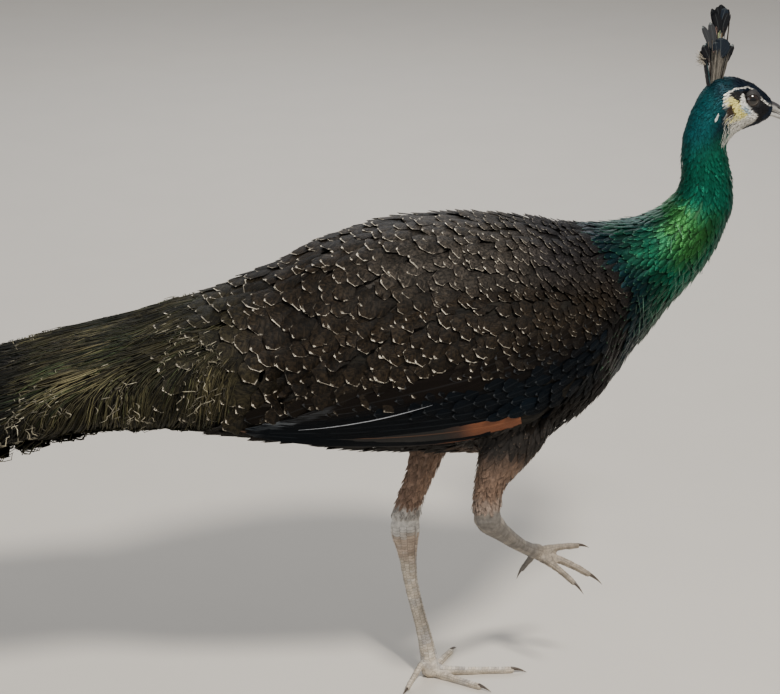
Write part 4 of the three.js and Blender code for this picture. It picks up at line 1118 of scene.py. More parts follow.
# ------------------------------------------------------------------ train and tail
def train_share(p):
    """Height within the train, 0 at its lower edge and 1 at its upper one."""
    lo = np.interp(p[:, 0], TRAIN_X, TRAIN_LOW)
    hi = np.interp(p[:, 0], TRAIN_X, TRAIN_HIGH)
    return (p[:, 2] - lo) / np.maximum(hi - lo, 5.0)


def train_flow(p, n):
    """Back along the train, and down its sides, most of all near its root."""
    x = p[:, 0]
    h = train_share(p)
    v = np.tile([-1.0, 0.0, -0.26], (len(p), 1))
    loose = 0.18 + 1.9 * smooth(x, -520, -400) * smooth(h, 0.92, 0.35) + 0.5 * smooth(x, -420, -300) * smooth(h, 0.6, 0.1)
    v[:, 2] -= loose * smooth(np.abs(n[:, 1]), 0.10, 0.5)
    v[:, 0] *= 1 - 0.45 * smooth(x, -480, -380) * smooth(h, 0.6, 0.2)
    # two places where the barbs hang almost straight down
    hang = np.maximum(smooth(x, -372, -345) * smooth(x, -280, -300), smooth(x, -268, -250) * smooth(x, -205, -222))
    hang = hang * smooth(h, 0.80, 0.50) * smooth(np.abs(n[:, 1]), 0.3, 0.7)
    v = v * (1 - hang[:, None]) + np.array([-0.22, 0.0, -2.2]) * hang[:, None]
    v[:, 1] += np.sign(p[:, 1]) * 0.05
    v = v - (v * n).sum(1, keepdims=True) * n
    return unit(v)


def train_tone(q):
    w, w2 = wander(q, 26.0, 1.0), wander(q, 11.0, 6.0)
    c = np.tile((0.024, 0.0215, 0.0105), (len(q), 1)).astype(float)
    c = mixc(c, (0.050, 0.043, 0.022), smooth(w, 0.0, 0.9))
    c = mixc(c, (0.008, 0.015, 0.005), smooth(-w2, 0.0, 0.8) * 0.8)
    c = mixc(c, (0.004, 0.0038, 0.0035), smooth(q[:, 0], -380, -440) * smooth(q[:, 2] - np.interp(q[:, 0], [-800, -450], [300, 352]), 0, 16))
    # near black low on the train's sides behind the rump: painted shade on the hollow underside of the train
    c = mixc(c, (0.004, 0.003, 0.002), smooth(q[:, 0], -440, -470) * smooth(q[:, 0], -530, -510) * smooth(q[:, 2], 322, 306) * 0.9)
    return c * (1 + 0.25 * w2)[:, None]


def thickness(co, n, faces):
    """How much of the shape lies straight under each of its points."""
    tree = BVHTree.FromPolygons([tuple(q) for q in co], [tuple(f) for f in faces.tolist()])
    out = np.full(len(co), 60.0)
    for k, (a, d) in enumerate(zip((co - n * 0.3).tolist(), (-n).tolist())):
        hit = tree.ray_cast(a, d, 60.0)
        if hit[3] is not None:
            out[k] = hit[3]
    return out


def train():
    plume = feather_material("plumage_train", rough=0.58, metal=0.0, spec=0.12, rim=(0.22, 0.20, 0.17), contrast=0.85, stripe=44, slant=34, bump=0.9, mottle=0.5)
    global TRAIN_X, TRAIN_LOW, TRAIN_HIGH
    co, faces = remeshed(TRAIN + [a for a in NODES if a.startswith(("rump", "trunk"))], 0.006, 0.0, 6)
    mm = co / MM - np.array([X0, 0, 0])
    n = point_normals(mm, faces)
    faces = faces[(mm[faces, 0] < -196).all(1)]
    used, inv = np.unique(faces, return_inverse=True)
    mm, n, faces = mm[used], n[used], inv.reshape(-1, 4)
    deep = 3.5 + 3.0 * smooth(-n[:, 2], 0.2, 0.9) + 5.0 * smooth(mm[:, 0], -270, -215)
    mm = mm - n * np.minimum(deep, (0.40 + 0.08 * smooth(mm[:, 0], -660, -720)) * thickness(mm, n, faces))[:, None]
    TRAIN_X = np.linspace(-820, -150, 68)
    near_x = [mm[np.abs(mm[:, 0] - np.clip(a, -800, -204)) < 14, 2] for a in TRAIN_X]
    TRAIN_LOW = np.array([q.min() for q in near_x])
    TRAIN_HIGH = np.array([q.max() for q in near_x])
    add_piece("train_down", mm, faces, shaded_down_material(), uv=spread(np.stack([mm[:, 0], np.arctan2(mm[:, 1], mm[:, 2] - 340)], 1)), replaces=TRAIN)
    form = Form(mm + point_normals(mm, faces) * 1.0, faces)
    p, n, _ = form.scatter(30000)
    m = (p[:, 0] > -715) & (p[:, 0] < -205)
    p, n = p[m], n[m]
    r = np.interp(p[:, 0], [-800, -400, -250, -150], [12, 11.5, 10.5, 10])
    k = thin_out(p, r)
    p, r, n = p[k], r[k], n[k]
    ln = np.interp(p[:, 0], [-760, -600, -300, -160], [50, 78, 64, 44]) * (1 + 0.15 * rng.normal(size=len(p)))
    ln = np.minimum(ln, (p[:, 0] + 812) * 0.97)
    ok = ln > 18
    p, ln = p[ok], ln[ok]
    half = np.interp(p[:, 0], [-600, -250], [5.5, 6.5])

    def settle(co):
        floor = np.interp(co[..., 0], TRAIN_X, TRAIN_LOW) - 2.0
        co[..., 2] = np.where(co[..., 2] < floor, floor + (co[..., 2] - floor) * 0.25, co[..., 2])
        return co
    coat("train_vanes", form, p, ln, half, 4.0, plume, "train", train_tone, K=9, M=5, camber=0.2, thick=0.3, ragged=0.30, rim=0.5 * smooth(p[:, 0], -430, -500),
         flow_of=train_flow, jitter=0.16, full=0.45, base=0.3, grade=(0.35, 1.0), stiff=0.1, settle=settle)
    plumes(form, feather_material("plumage_train_end", rough=0.85, metal=0.0, spec=0.06, rim=(0.10, 0.09, 0.07), contrast=0.9, stripe=60, slant=44, bump=0.9, mottle=0.6))
    hair_coat(form)


def plumes(form, mat):
    """Long loose plumes that finish the train, with thin pointed ends at different lengths."""
    K, M = 16, 7
    t = np.linspace(0, 1, K)
    middle = (TRAIN_LOW + TRAIN_HIGH) / 2
    grade = (middle[8] - middle[20]) / (TRAIN_X[8] - TRAIN_X[20])
    paths, norms, halfs, cols, at = [], [], [], [], []
    for i in range(150):
        above = i % 3 != 2
        x0 = -500 - 190 * rng.random()
        y0 = (2 * rng.random() - 1) * 96
        hit = form.tree.ray_cast((x0, y0, 700.0 if above else 100.0), (0, 0, -1 if above else 1))
        if hit[0] is None:
            continue
        a = np.array(hit[0])
        x1 = -832 + 48 * (abs(y0) / 96) ** 2 + 60 * rng.random() ** 1.5
        x = lerp(x0, x1, t)
        y = y0 * (1 + 0.12 * t) + 5 * rng.normal() * t ** 2
        z = a[2] + grade * (x - x0)
        back = np.interp(x, TRAIN_X, middle, left=None)
        back = np.where(x < -760, np.interp(-760, TRAIN_X, middle) + grade * (x + 760), back)
        # towards the ends the plumes of both faces close into one thin sheet
        z = lerp(z, back + (4.5 if above else -2.5) * (1 + 0.4 * rng.normal()), smooth(x, -600, -770))
        z = z + (1.8 if above else -1.8) * np.sin(np.pi * np.minimum(t * 1.6, 1)) - 3 * t ** 2
        paths.append(np.stack([x, y, z], 1))
        norms.append(unit(np.tile([0.22, 0.004 * y0, 1.0 if above else -1.0], (K, 1))))
        shape = np.interp(t, [0, 0.1, 0.35, 0.7, 0.88, 1.0], [0.25, 0.6, 1.0, 0.85, 0.45, 0.05])
        halfs.append((7.0 + 2.5 * rng.random()) * shape)
        at.append(a)
        # plumes on the underside get a darker tone than those on top: painted shade
        cols.append((0.5 + 0.9 * rng.random()) * (0.55 if above else 0.4))
    at = np.array(at)
    c = (train_tone(at) * 0.6 + np.array([0.012, 0.0115, 0.0075]) * 0.4) * np.array(cols)[:, None]
    N = len(at)
    co, S, T = vanes(np.array(paths), np.array(norms), np.array(halfs), np.full(N, 0.16), np.full(N, 0.3), M, 0.45)
    place = 0.02 + 0.96 * spread(np.stack([at[:, 0], at[:, 1]], 1))
    emit("train_plumes", co, S, T, K, M, c, mat, np.full(N, 0.3), [], None, place)
    # loose barbs that leave each shaft at a small angle
    P, R, C, O = [], [], [], []
    g_ = np.linspace(0, 1, 7)[:, None]
    for k, (path, nn) in enumerate(zip(paths, norms)):
        for j in range(18):
            a = (0.04 + 0.80 * rng.random()) * (K - 1)
            i = min(int(a), K - 2)
            start = path[i] + (path[i + 1] - path[i]) * (a - i)
            d = unit((path[i + 1] - path[i])[None])[0]
            b = np.cross(nn[i], d) * rng.choice([-1, 1])
            turn = 0.10 + 0.22 * rng.random()
            ln = 30 + 26 * rng.random()
            P.append(start + (d * np.cos(turn) + b * np.sin(turn)) * ln * g_ - b * (g_ ** 2) * ln * 0.10 + nn[i] * (1.0 + 1.8 * rng.random()) * (1 - 0.3 * g_)
                     + b * np.sin(g_ * 7 + 6.28 * rng.random()) * 0.9)
            R.append(np.array([0.30, 0.42, 0.46, 0.42, 0.34, 0.22, 0.08]) * (0.8 + 0.5 * rng.random()))
            base = c[k] * np.exp(0.7 * rng.normal()) * 1.3
            C.append(np.array([0.14, 0.13, 0.12]) * (0.3 + 0.8 * rng.random()) if rng.random() < 0.10 else base)
            O.append(at[k])
    O = np.array(O)
    hair = Graph("barbs_train_end")
    tint = hair.attr("tint", "Color")
    s, tt, own = hair.parts(hair.attr("vane"))
    v = hair.noise(hair.vec(hair.math("MULTIPLY", tt, 3.0), hair.math("MULTIPLY", own, 90.0), 0.0), 1.0, 2.0)
    fine = hair.finish(hair.scale(tint, hair.ramp(v, 0.3, 0.7, 0.55, 1.45)), hair.ramp(v, 0.3, 0.7, 0.7, 0.5), **{"Specular IOR Level": 0.3})
    P = np.array(P)
    P[..., 0] = np.where(P[..., 0] < -830, -830 + (P[..., 0] + 830) * 0.22, P[..., 0])
    strands("train_barbs_end", P, np.array(R), fine, np.clip(np.array(C), 0, 1), 0.02 + 0.96 * spread(np.stack([O[:, 0], O[:, 1]], 1)))


def hair_coat(form):
    """Loose hair-like barbs of the train's plumes, lying over the vanes and drooping down the sides."""
    hair = Graph("barbs_train")
    tint = hair.attr("tint", "Color")
    s, t, own = hair.parts(hair.attr("vane"))
    v = hair.noise(hair.vec(hair.math("MULTIPLY", t, 3.0), hair.math("MULTIPLY", own, 90.0), 0.0), 1.0, 2.0)
    mat = hair.finish(hair.scale(tint, hair.ramp(v, 0.3, 0.7, 0.55, 1.45)), hair.ramp(v, 0.3, 0.7, 0.66, 0.5), **{"Specular IOR Level": 0.18})
    for name, count, low, high in (("train_barbs_side", 5800, -0.6, 0.72), ("train_barbs_top", 4600, 0.5, 1.01)):
        p, n, _ = form.scatter(26000)
        m = (p[:, 0] > -740) & (p[:, 0] < -212 - 14 * wander(p, 12.0, 9.0)) & (n[:, 2] > low) & (n[:, 2] <= high)
        p, n = p[m], n[m]
        dense = np.interp(p[:, 0], [-775, -560, -520, -200], [7.5, 6.0, 3.4, 3.4])
        k = thin_out(p, dense)[:count]
        p, n = p[k], n[k]
        N = len(p)
        length = np.interp(p[:, 0], [-775, -500, -400, -180], [40, 62, 46, 40]) * (1 + 0.22 * rng.normal(size=N).clip(-2, 2))
        length = length * (1 + 0.4 * smooth(p[:, 0], -372, -345))
        length = np.clip(length, 12, p[:, 0] + 812)
        K = 7
        clump = wander(p, 13.0, 7.0)
        path, norm, roots = surface_paths(form, p, length, K, 2.6 + rng.random(N), 4.0 + 2.6 * rng.random(N), turn=0.26 * clump + 0.09 * rng.normal(size=N), flow_of=train_flow, stiff=0.2)
        # each lock waves a little of its own
        d = unit(np.gradient(path, axis=1))
        across = unit(np.cross(norm, d))
        tt = np.linspace(0, 1, K)
        phase = 6.28 * rng.random(N)[:, None]
        path = path + across * (np.sin(tt[None] * 7 + phase) * tt[None] * (0.8 + 1.2 * rng.random(N))[:, None])[..., None]
        floor = np.interp(path[..., 0], TRAIN_X, TRAIN_LOW) - 1.0
        path[..., 2] = np.where(path[..., 2] < floor, floor + (path[..., 2] - floor) * 0.2, path[..., 2])
        c = train_tone(roots)
        big = wander(p, 30.0, 11.0)
        k1 = np.exp(1.0 * clump + 0.8 * big + 0.35 * rng.normal(size=N)) * np.where(rng.random(N) < 0.22, 0.2, 1.0)
        c = c * np.clip(k1, 0.06, 4.6)[:, None]
        # some strands far back in a pale lilac grey: painted highlight on the black streaks
        far = (roots[:, 0] < -440) & (rng.random(N) < 0.22)
        c[far] = np.array([0.16, 0.15, 0.165]) * (0.5 + 0.8 * rng.random((far.sum(), 1)))
        radius = (0.42 + 0.42 * rng.random(N))[:, None] * np.array([0.8, 1.0, 1.0, 0.95, 0.8, 0.55, 0.2])[None]
        strands(name, path, radius, mat, c, 0.02 + 0.96 * spread(np.stack([roots[:, 0], np.arctan2(roots[:, 1], roots[:, 2] - np.interp(roots[:, 0], [-800, -200], [290, 350]))], 1)))
    # pale curls in a few bunches, painted highlight where the curly barbs catch the light, and fine barbs that stand
    # off the upper edge
    P, R, C, O = [], [], [], []
    bunches = [(-395, 398, 16, 14, 44), (-418, 384, 18, 16, 46), (-325, 402, 16, 16, 22), (-310, 384, 20, 18, 18), (-262, 432, 20, 20, 52), (-238, 424, 14, 22, 44),
               (-470, 362, 14, 18, 46), (-487, 372, 10, 16, 30), (-246, 400, 20, 18, 26), (-440, 360, 16, 12, 22)]
    for side in (-1, 1):
        for bx, bz, sx, sz, cnt in bunches:
            for _ in range(cnt):
                q = (bx + sx * rng.normal() * 0.6, side * 160.0, bz + sz * rng.normal() * 0.5)
                hit = form.tree.ray_cast(q, (0, -side, 0))
                if hit[0] is None:
                    continue
                a = np.array(hit[0])
                ln = 5 + 9 * rng.random()
                g_ = np.linspace(0, 1, 7)[:, None]
                lean = np.array([-0.35 + 0.9 * rng.normal(), 0, -1.0 + 0.5 * rng.normal()])
                lean /= np.linalg.norm(lean)
                pt = a + lean * ln * g_ + np.array([1, 0, 0.2]) * np.sin(g_ * (4 + 5 * rng.random()) + 6.28 * rng.random()) * 1.6
                loc, nor = form.near(pt)
                P.append(loc + nor * (6.5 + 1.0 * rng.random()))
                R.append(np.array([0.14, 0.30, 0.42, 0.46, 0.40, 0.26, 0.1]) * (0.6 + 0.9 * rng.random()))
                C.append(np.array([0.44, 0.40, 0.29]) * (0.08 + 0.95 * rng.random() ** 2.0))
                O.append(a)
    for _ in range(240):
        x = -300 - 150 * rng.random()
        y = rng.normal() * 12
        hit = form.tree.ray_cast((x, y, 600.0), (0, 0, -1))
        if hit[0] is None:
            continue
        a = np.array(hit[0])
        g_ = np.linspace(0, 1, 7)[:, None]
        ln = 7 + 7 * rng.random()
        P.append(a + np.array([0, 0, 2.0]) + np.array([-0.85, 0.12 * rng.normal(), 0.42]) * ln * g_ + np.array([0, 0, -1]) * (g_ ** 2) * ln * 0.18)
        R.append(np.array([0.3, 0.28, 0.25, 0.22, 0.18, 0.12, 0.06]))
        C.append(np.array([0.020, 0.016, 0.010]))
        O.append(a)
    O = np.array(O)
    strands("train_curls", np.array(P), np.array(R), mat, np.array(C), 0.02 + 0.96 * spread(np.stack([O[:, 0], np.arctan2(O[:, 1], O[:, 2] - 330)], 1)))


# ------------------------------------------------------------------ crest
def crest():
    webm = feather_material("plumage_crest", rough=0.46, metal=0.2, spec=0.30, rim=(0.34, 0.38, 0.38), contrast=0.55, stripe=26, slant=22, bump=0.6, shaft=0.10)
    dark, navy, slate, teal_glint = (0.003, 0.004, 0.007), (0.007, 0.014, 0.025), (0.040, 0.043, 0.048), (0.008, 0.050, 0.062)
    # spatula tips: lower end x, z, upper end x, z, depth across, half width, colour, light edge; the light edges and
    # the teal colour of one round black plume are painted highlights
    spec = [
        (283.5, 718, 277.2, 742.5, 2.2, 3.9, dark, 0.0), (284.6, 718, 281.4, 745.0, -1.2, 5.0, dark, 0.0), (285.4, 717, 285.6, 746.8, 0.6, 6.2, dark, 0.0),
        (286.4, 718, 289.8, 744.0, -2.0, 5.4, navy, 0.1), (287.2, 717, 294.2, 741.5, 1.2, 4.4, dark, 0.0), (289.5, 714, 295.6, 737.0, -0.6, 2.6, dark, 0.2),
        (284.0, 719, 279.0, 739.0, -2.6, 4.4, dark, 0.0), (287.6, 719, 292.0, 739.0, -3.0, 4.6, dark, 0.0),
        (277.4, 703, 267.2, 726.5, -1.4, 3.2, slate, 0.9), (279.6, 704, 274.6, 730.0, -2.2, 3.8, slate, 0.7), (280.0, 704, 276.4, 724.0, 1.4, 3.0, dark, 0.2),
        (285.4, 692, 285.6, 714.5, -3.8, 8.6, navy, 0.1), (284.6, 690, 280.6, 710.0, -2.8, 5.6, navy, 0.2), (288.6, 690, 292.0, 709.0, 1.2, 5.4, navy, 0.2),
        (290.0, 682, 299.6, 707.0, -2.4, 4.2, dark, 0.7), (289.4, 684, 296.0, 708.5, -1.4, 4.2, dark, 0.3), (290.0, 682, 300.4, 702.5, 1.6, 3.8, dark, 0.2),
        (277.4, 688, 268.8, 707.0, -1.6, 4.4, dark, 0.3), (278.8, 690, 272.6, 708.5, 0.6, 4.0, teal_glint, 1.0), (276.2, 685, 267.4, 700.0, 1.4, 4.0, dark, 0.2),
    ]
    K, M = 10, 9
    t = np.linspace(0, 1, K)
    paths, norms, halfs, cols, rims = [], [], [], [], []
    P, R, C = [], [], []

    def shaft(a, b, r, c, bend=0.0):
        q = np.linspace(0, 1, 6)[:, None]
        P.append(np.array(a) * (1 - q) + np.array(b) * q + np.array([bend, 0, 0]) * np.sin(np.pi * q))
        R.append(np.linspace(1.0, 0.7, 6) * r)
        C.append(np.array(c))

    for x0, z0, x1, z1, y, wide, c, rim in spec:
        a, b = np.array([x0, y * 0.7, z0]), np.array([x1, y * 1.2, z1])
        bend = np.array([0.05 * (z1 - z0) * np.sign(x1 - x0 - 0.3), 0, 0])
        paths.append(a + (b - a) * t[:, None] - bend * np.sin(np.pi * t)[:, None])
        norms.append(np.tile([0.10 * y, -1.0, 0.12], (K, 1)))
        halfs.append(wide * np.maximum(np.where(t < 0.56, np.sin(np.pi / 2 * np.clip(t / 0.56, 0, 1)) ** 0.72, np.sqrt(np.clip(1 - ((t - 0.56) / 0.445) ** 2.4, 0, 1))), 0.06))
        cols.append(c)
        rims.append(rim)
        foot = np.array([284.5 + (x0 - 284.5) * 0.55, y * 0.6, 664.0])
        shaft(foot, a + (b - a) * 0.3, 0.62, {dark: (0.05, 0.035, 0.03), navy: (0.05, 0.05, 0.05)}.get(c, (0.12, 0.10, 0.08)))
    n = len(spec)
    co, S, T = vanes(np.array(paths), np.array(norms), np.array(halfs), np.full(n, 0.16), np.full(n, 0.8), M, 0.035)
    emit("crest_blades", co, S, T, K, M, np.array(cols), webm, rims, ["crest"])
    # the webbed column, the bare shafts over it and the loose strands, as fine filaments
    for i in range(210):
        a = rng.random() * 2 - 1
        y = (rng.random() * 2 - 1) * 3.8
        top = 697 + rng.random() * 7 - 4 * abs(a)
        q = np.linspace(0, 1, 6)[:, None]
        pt = np.array([284.0 + a * 5.2, y * 0.9, 665.0]) * (1 - q) + np.array([287.2 + a * 9.2, y, top + 2]) * q
        pt[:, 0] += 0.4 * np.sin(q[:, 0] * 5 + i)
        P.append(pt)
        R.append(np.array([0.78, 0.74, 0.68, 0.6, 0.45, 0.15]))
        shade = 0.45 + 0.9 * rng.random()
        C.append(np.array([0.135, 0.122, 0.102]) * shade * (1.0 if a > -0.6 else 0.6))
    for i in range(70):                                       # black strand behind
        a = rng.random()
        q = np.linspace(0, 1, 6)[:, None]
        pt = np.array([279.6 - 3.2 * a, rng.normal() * 1.3, 665]) * (1 - q) + np.array([274.5 - 5 * a, rng.normal(), 690 + 6 * a]) * q
        P.append(pt)
        R.append(np.array([1.0, 0.95, 0.85, 0.7, 0.5, 0.2]))
        C.append(np.array([0.006, 0.007, 0.010]) if i % 9 else np.array([0.02, 0.05, 0.055]))
    for i in range(44):                                       # pale fuzz
        a, b = rng.random(), rng.random()
        p0 = np.array([273 - 2.0 * a, rng.normal() * 1.6, 686 + 8 * b])
        q = np.linspace(0, 1, 6)[:, None]
        P.append(p0 + q * np.array([-6.5 - 2 * a, 0, 3 + 3 * rng.normal()]))
        R.append(np.full(6, 0.16))
        C.append(np.array([0.30, 0.27, 0.22]) * (0.5 + rng.random()))
    for x0, x1, c in ((281.2, 282.6, (0.40, 0.24, 0.20)), (280.4, 281.6, (0.30, 0.19, 0.16)), (284.4, 284.2, (0.40, 0.47, 0.25)), (285.6, 285.8, (0.34, 0.38, 0.22)),
                      (288.0, 287.2, (0.36, 0.27, 0.16)), (289.0, 288.0, (0.30, 0.22, 0.13)), (293.6, 295.0, (0.035, 0.025, 0.02))):
        for k in range(2):
            shaft((x0, (k - 0.5) * 1.6 - 0.4, 698), (x1, (k - 0.5) * 1.4 - 0.6, 729), 0.72, c)
    hair = Graph("crest_filaments")
    tint = hair.attr("tint", "Color")
    s, tt, own = hair.parts(hair.attr("vane"))
    v = hair.noise(hair.vec(hair.math("MULTIPLY", tt, 5.0), hair.math("MULTIPLY", own, 90.0), 0.0), 1.0, 2.0)
    mat = hair.finish(hair.scale(tint, hair.ramp(v, 0.3, 0.7, 0.7, 1.3)), 0.5, **{"Specular IOR Level": 0.4})
    P = np.array(P)
    strands("crest_filaments", P, np.array(R), mat, np.array(C), spread(np.stack([P[:, 3, 0], P[:, 3, 2] + 6 * P[:, 0, 1]], 1)))


# ------------------------------------------------------------------ legs and feet
def leg_place(p):
    """Unwrap of the legs: length down a leg, and the way round it, each leg in its own half."""
    out = np.zeros((len(p), 2))
    left = (p[:, 1] > 25) | (p[:, 2] < 60)
    for k, m in enumerate((left, ~left)):
        if m.any():
            r = leg_round(p[m], "lr"[k])
            out[m] = np.stack([r[:, 0], (k + 0.03 + 0.94 * r[:, 1]) / 2], 1)
    return out


def legs():
    f = FORM
    p, n, _ = f.scatter(60000)
    share, tan, left = leg_share(p)
    hock = np.where(left, p[:, 2], p[:, 2] - 72)
    m = (share > 0.42) & (hock > 181)
    p, left, hock = p[m], left[m], hock[m]
    r = np.interp(hock, [180, 200, 250, 300], [2.0, 2.3, 3.6, 5.4])
    k = thin_out(p, r)
    p, r, left, hock = p[k], r[k], left[k], hock[k]
    down = feather_material("plumage_leg", rough=0.68, spec=0.3, rim=(0.30, 0.22, 0.16), contrast=0.6, stripe=16, slant=7, bump=0.6, mottle=0.3)
    high = hock > 262
    for name, mm, slot in (("coat_thighs", high, "thigh"), ("coat_shanks", ~high, "shank")):
        coat(name, f, p[mm], r[mm] * 3.0, r[mm] * 0.62, 1.5 if slot == "shank" else 2.4, down, slot, plumage, K=5, M=3, camber=0.3, thick=0.2, ragged=0.14,
             jitter=0.22, rim=0.25, grade=(0.6, 1.1), unwrap_of=leg_place)
    scutes()
    claws()


def toe_axis(foot, k, base, tip, r0, r1, arch, pads, count=24):
    s = np.linspace(0, 1, count)[:, None]
    p = np.array(base) * (1 - s) + np.array(tip) * s
    s = s[:, 0]
    p[:, 2] += arch * np.sin(np.pi * s)
    r = lerp(r0, r1, s) * (1 + 0.06 * np.cos(2 * np.pi * pads * s))
    if foot == "l" and k != 1:
        p[:, 2] = np.maximum(0.77 * r, p[:, 2] * (1 - 3 * s))
    return p, r


TOES = [
    ("l", 3, (4, 14.5, 7.2), (93, 7, 4.2), 7.0, 4.2, 2.5, 4, 15), ("l", 2, (3, 13, 7.0), (51, -24, 4.0), 6.6, 4.0, 2.0, 3, 13),
    ("l", 4, (3, 17, 7.0), (33, 60, 3.8), 6.2, 3.8, 2.0, 3, 12), ("l", 1, (-8, 10, 18), (-29, -17, 2.9), 5.0, 3.6, 1.0, 2, 12),
    ("r", 3, (119, -1, 149), (171, -12, 126), 6.8, 4.0, 3.0, 4, 15), ("r", 2, (119, 3, 151), (163, 12, 150), 6.4, 3.8, 1.5, 3, 13),
    ("r", 4, (118, -4, 148), (150, -34, 128), 6.2, 3.6, 2.0, 3, 12), ("r", 1, (110, 3, 145), (101, 16, 122), 4.6, 3.2, 0.0, 2, 11),
]


def plates(form, axis, front, pitch, columns, lift, reach):
    """Overlapping plates round a limb: grids cast from its axis to the skin. columns: centre angle, half angle, pitch factor."""
    seg = np.linalg.norm(np.diff(axis, axis=0), axis=1)
    cum = np.concatenate([[0], np.cumsum(seg)])

    def at(s):
        return np.stack([np.interp(s, cum, axis[:, d]) for d in range(3)], -1)
    K, M = 5, 7
    tops, us = [], []
    for centre, half, factor, shift in columns:
        step = pitch * factor
        for i in range(int(cum[-1] / step) - 0):
            s0 = (i + shift) * step + rng.normal() * 0.12
            ln = step * 1.32
            u = np.linspace(0, 1, K)
            a = np.radians(centre + half * np.linspace(-1, 1, M))
            # rounded lower edge: the middle of a plate reaches further than its sides
            ss = s0 + ln * (u[:, None] * (1 - 0.30 * np.linspace(-1, 1, M)[None] ** 2))
            if ss.max() > cum[-1] + 1.0 or ss.min() < 0:
                continue
            c = at(ss)
            d = unit(at(ss + 1.5) - at(ss - 1.5))
            fr = unit(front - (d * front).sum(-1, keepdims=True) * d)
            sd = np.cross(d, fr)
            ray = fr * np.cos(a)[None, :, None] + sd * np.sin(a)[None, :, None]
            top = np.zeros((K, M, 3))
            good = True
            for x in range(K):
                for y in range(M):
                    o = c[x, y] + ray[x, y] * reach
                    hit = form.tree.ray_cast(o.tolist(), (-ray[x, y]).tolist(), reach * 1.3)
                    if hit[0] is None:
                        good = False
                        break
                    edge = 1 - np.linspace(-1, 1, M)[y] ** 2
                    rise = lift * (0.15 + 0.85 * u[x]) * (0.45 + 0.55 * edge)
                    top[x, y] = np.array(hit[0]) + ray[x, y] * rise
                if not good:
                    break
            if good and np.abs(np.diff(top, axis=1)).max() < 6:
                tops.append((top, ray, ss))
    out = []
    for top, ray, ss in tops:
        low = top - ray * 0.35
        low[0], low[-1], low[:, 0], low[:, -1] = top[0] - 0, top[-1] - 0, top[:, 0] - 0, top[:, -1] - 0
        low[1:-1, 1:-1] = top[1:-1, 1:-1] - ray[1:-1, 1:-1] * 0.5
        out.append(np.concatenate([top.reshape(-1, 3), low.reshape(-1, 3)]))
    return out


def scutes():
    g = Graph("scutes")
    tint = g.attr("tint", "Color")
    s, t, own = g.parts(g.attr("vane"))
    place = g.t.nodes.new("ShaderNodeTexCoord").outputs["Object"]
    fine = g.noise(place, 1100.0, 4.0, 0.6)
    broad = g.noise(place, 160.0, 3.0)
    rim = g.math("MAXIMUM", g.ramp(g.math("ABSOLUTE", s), 0.72, 1.0), g.math("MAXIMUM", g.ramp(t, 0.84, 1.0), g.ramp(t, 0.14, 0.0)))
    colour = g.mix(g.math("MULTIPLY", rim, 0.72), g.scale(tint, g.ramp(broad, 0.35, 0.65, 0.78, 1.16)), (0.085, 0.070, 0.056))
    colour = g.scale(colour, g.ramp(fine, 0.3, 0.7, 0.86, 1.1))
    mat = g.finish(colour, g.ramp(fine, 0.3, 0.7, 0.5, 0.66), g.bump(fine, 0.3, 0.0004), **{"Specular IOR Level": 0.45})
    K, M = 5, 7
    for tag in "lr":
        L = LEG[tag]
        axis = L[8:] if tag == "l" else L[9:]
        front = np.array([0.94, 0.0, -0.1]) if tag == "l" else np.array([0.64, 0.0, 0.77])
        dense = np.stack([np.interp(np.linspace(0, len(axis) - 1, 60), np.arange(len(axis)), axis[:, d]) for d in range(3)], -1)
        all_ = []
        all_ += plates(SKIN, dense, front, 4.6, [(0, 50, 1.0, 0.0), (72, 26, 0.72, 0.3), (-72, 26, 0.72, 0.5), (112, 20, 0.62, 0.1), (-112, 20, 0.62, 0.4),
                                                (148, 22, 0.66, 0.6), (-148, 22, 0.66, 0.2), (180, 12, 0.8, 0.0)], 0.62, 19.0)
        for foot, k, base, tip, r0, r1, arch, pads, claw in TOES:
            if foot != tag:
                continue
            ax, r = toe_axis(foot, k, base, tip, r0, r1, arch, pads)
            cols = [(0, 56, 1.0, 0.6), (74, 20, 0.7, 0.2), (-74, 20, 0.7, 0.5)]
            if foot == "r":
                cols += [(118, 24, 0.8, 0.2), (-118, 24, 0.8, 0.5), (170, 30, 0.8, 0.4)]
            all_ += plates(SKIN, ax, np.array([0.0, 0.0, 1.0]), 3.7, cols, 0.5, r0 + 3.2)
        co = np.array(all_)
        N = len(co)
        mid = co[:, K * M // 2]
        col = foot_colour(mid) * (1 + 0.08 * rng.normal(size=(N, 1)).clip(-2, 2))
        S = np.tile(np.tile(np.linspace(-1, 1, M), K), 2)
        T = np.tile(np.repeat(np.linspace(0, 1, K), M), 2)
        emit("scutes_" + tag, co, S, T, K, M, col, mat, np.zeros(N), (), patch_at=spread(leg_place(mid)))


def tube(path, rad, up, sides):
    """Rings along a path; rad is K x 2 half sizes across and along up."""
    K = len(path)
    d = unit(np.gradient(path, axis=0))
    b = unit(np.cross(np.tile(up, (K, 1)), d))
    u = np.cross(d, b)
    a = 2 * np.pi * np.arange(sides) / sides
    ring = path[:, None] + b[:, None] * (np.cos(a)[None, :, None] * rad[:, 0, None, None]) + u[:, None] * (np.sin(a)[None, :, None] * rad[:, 1, None, None])
    return ring


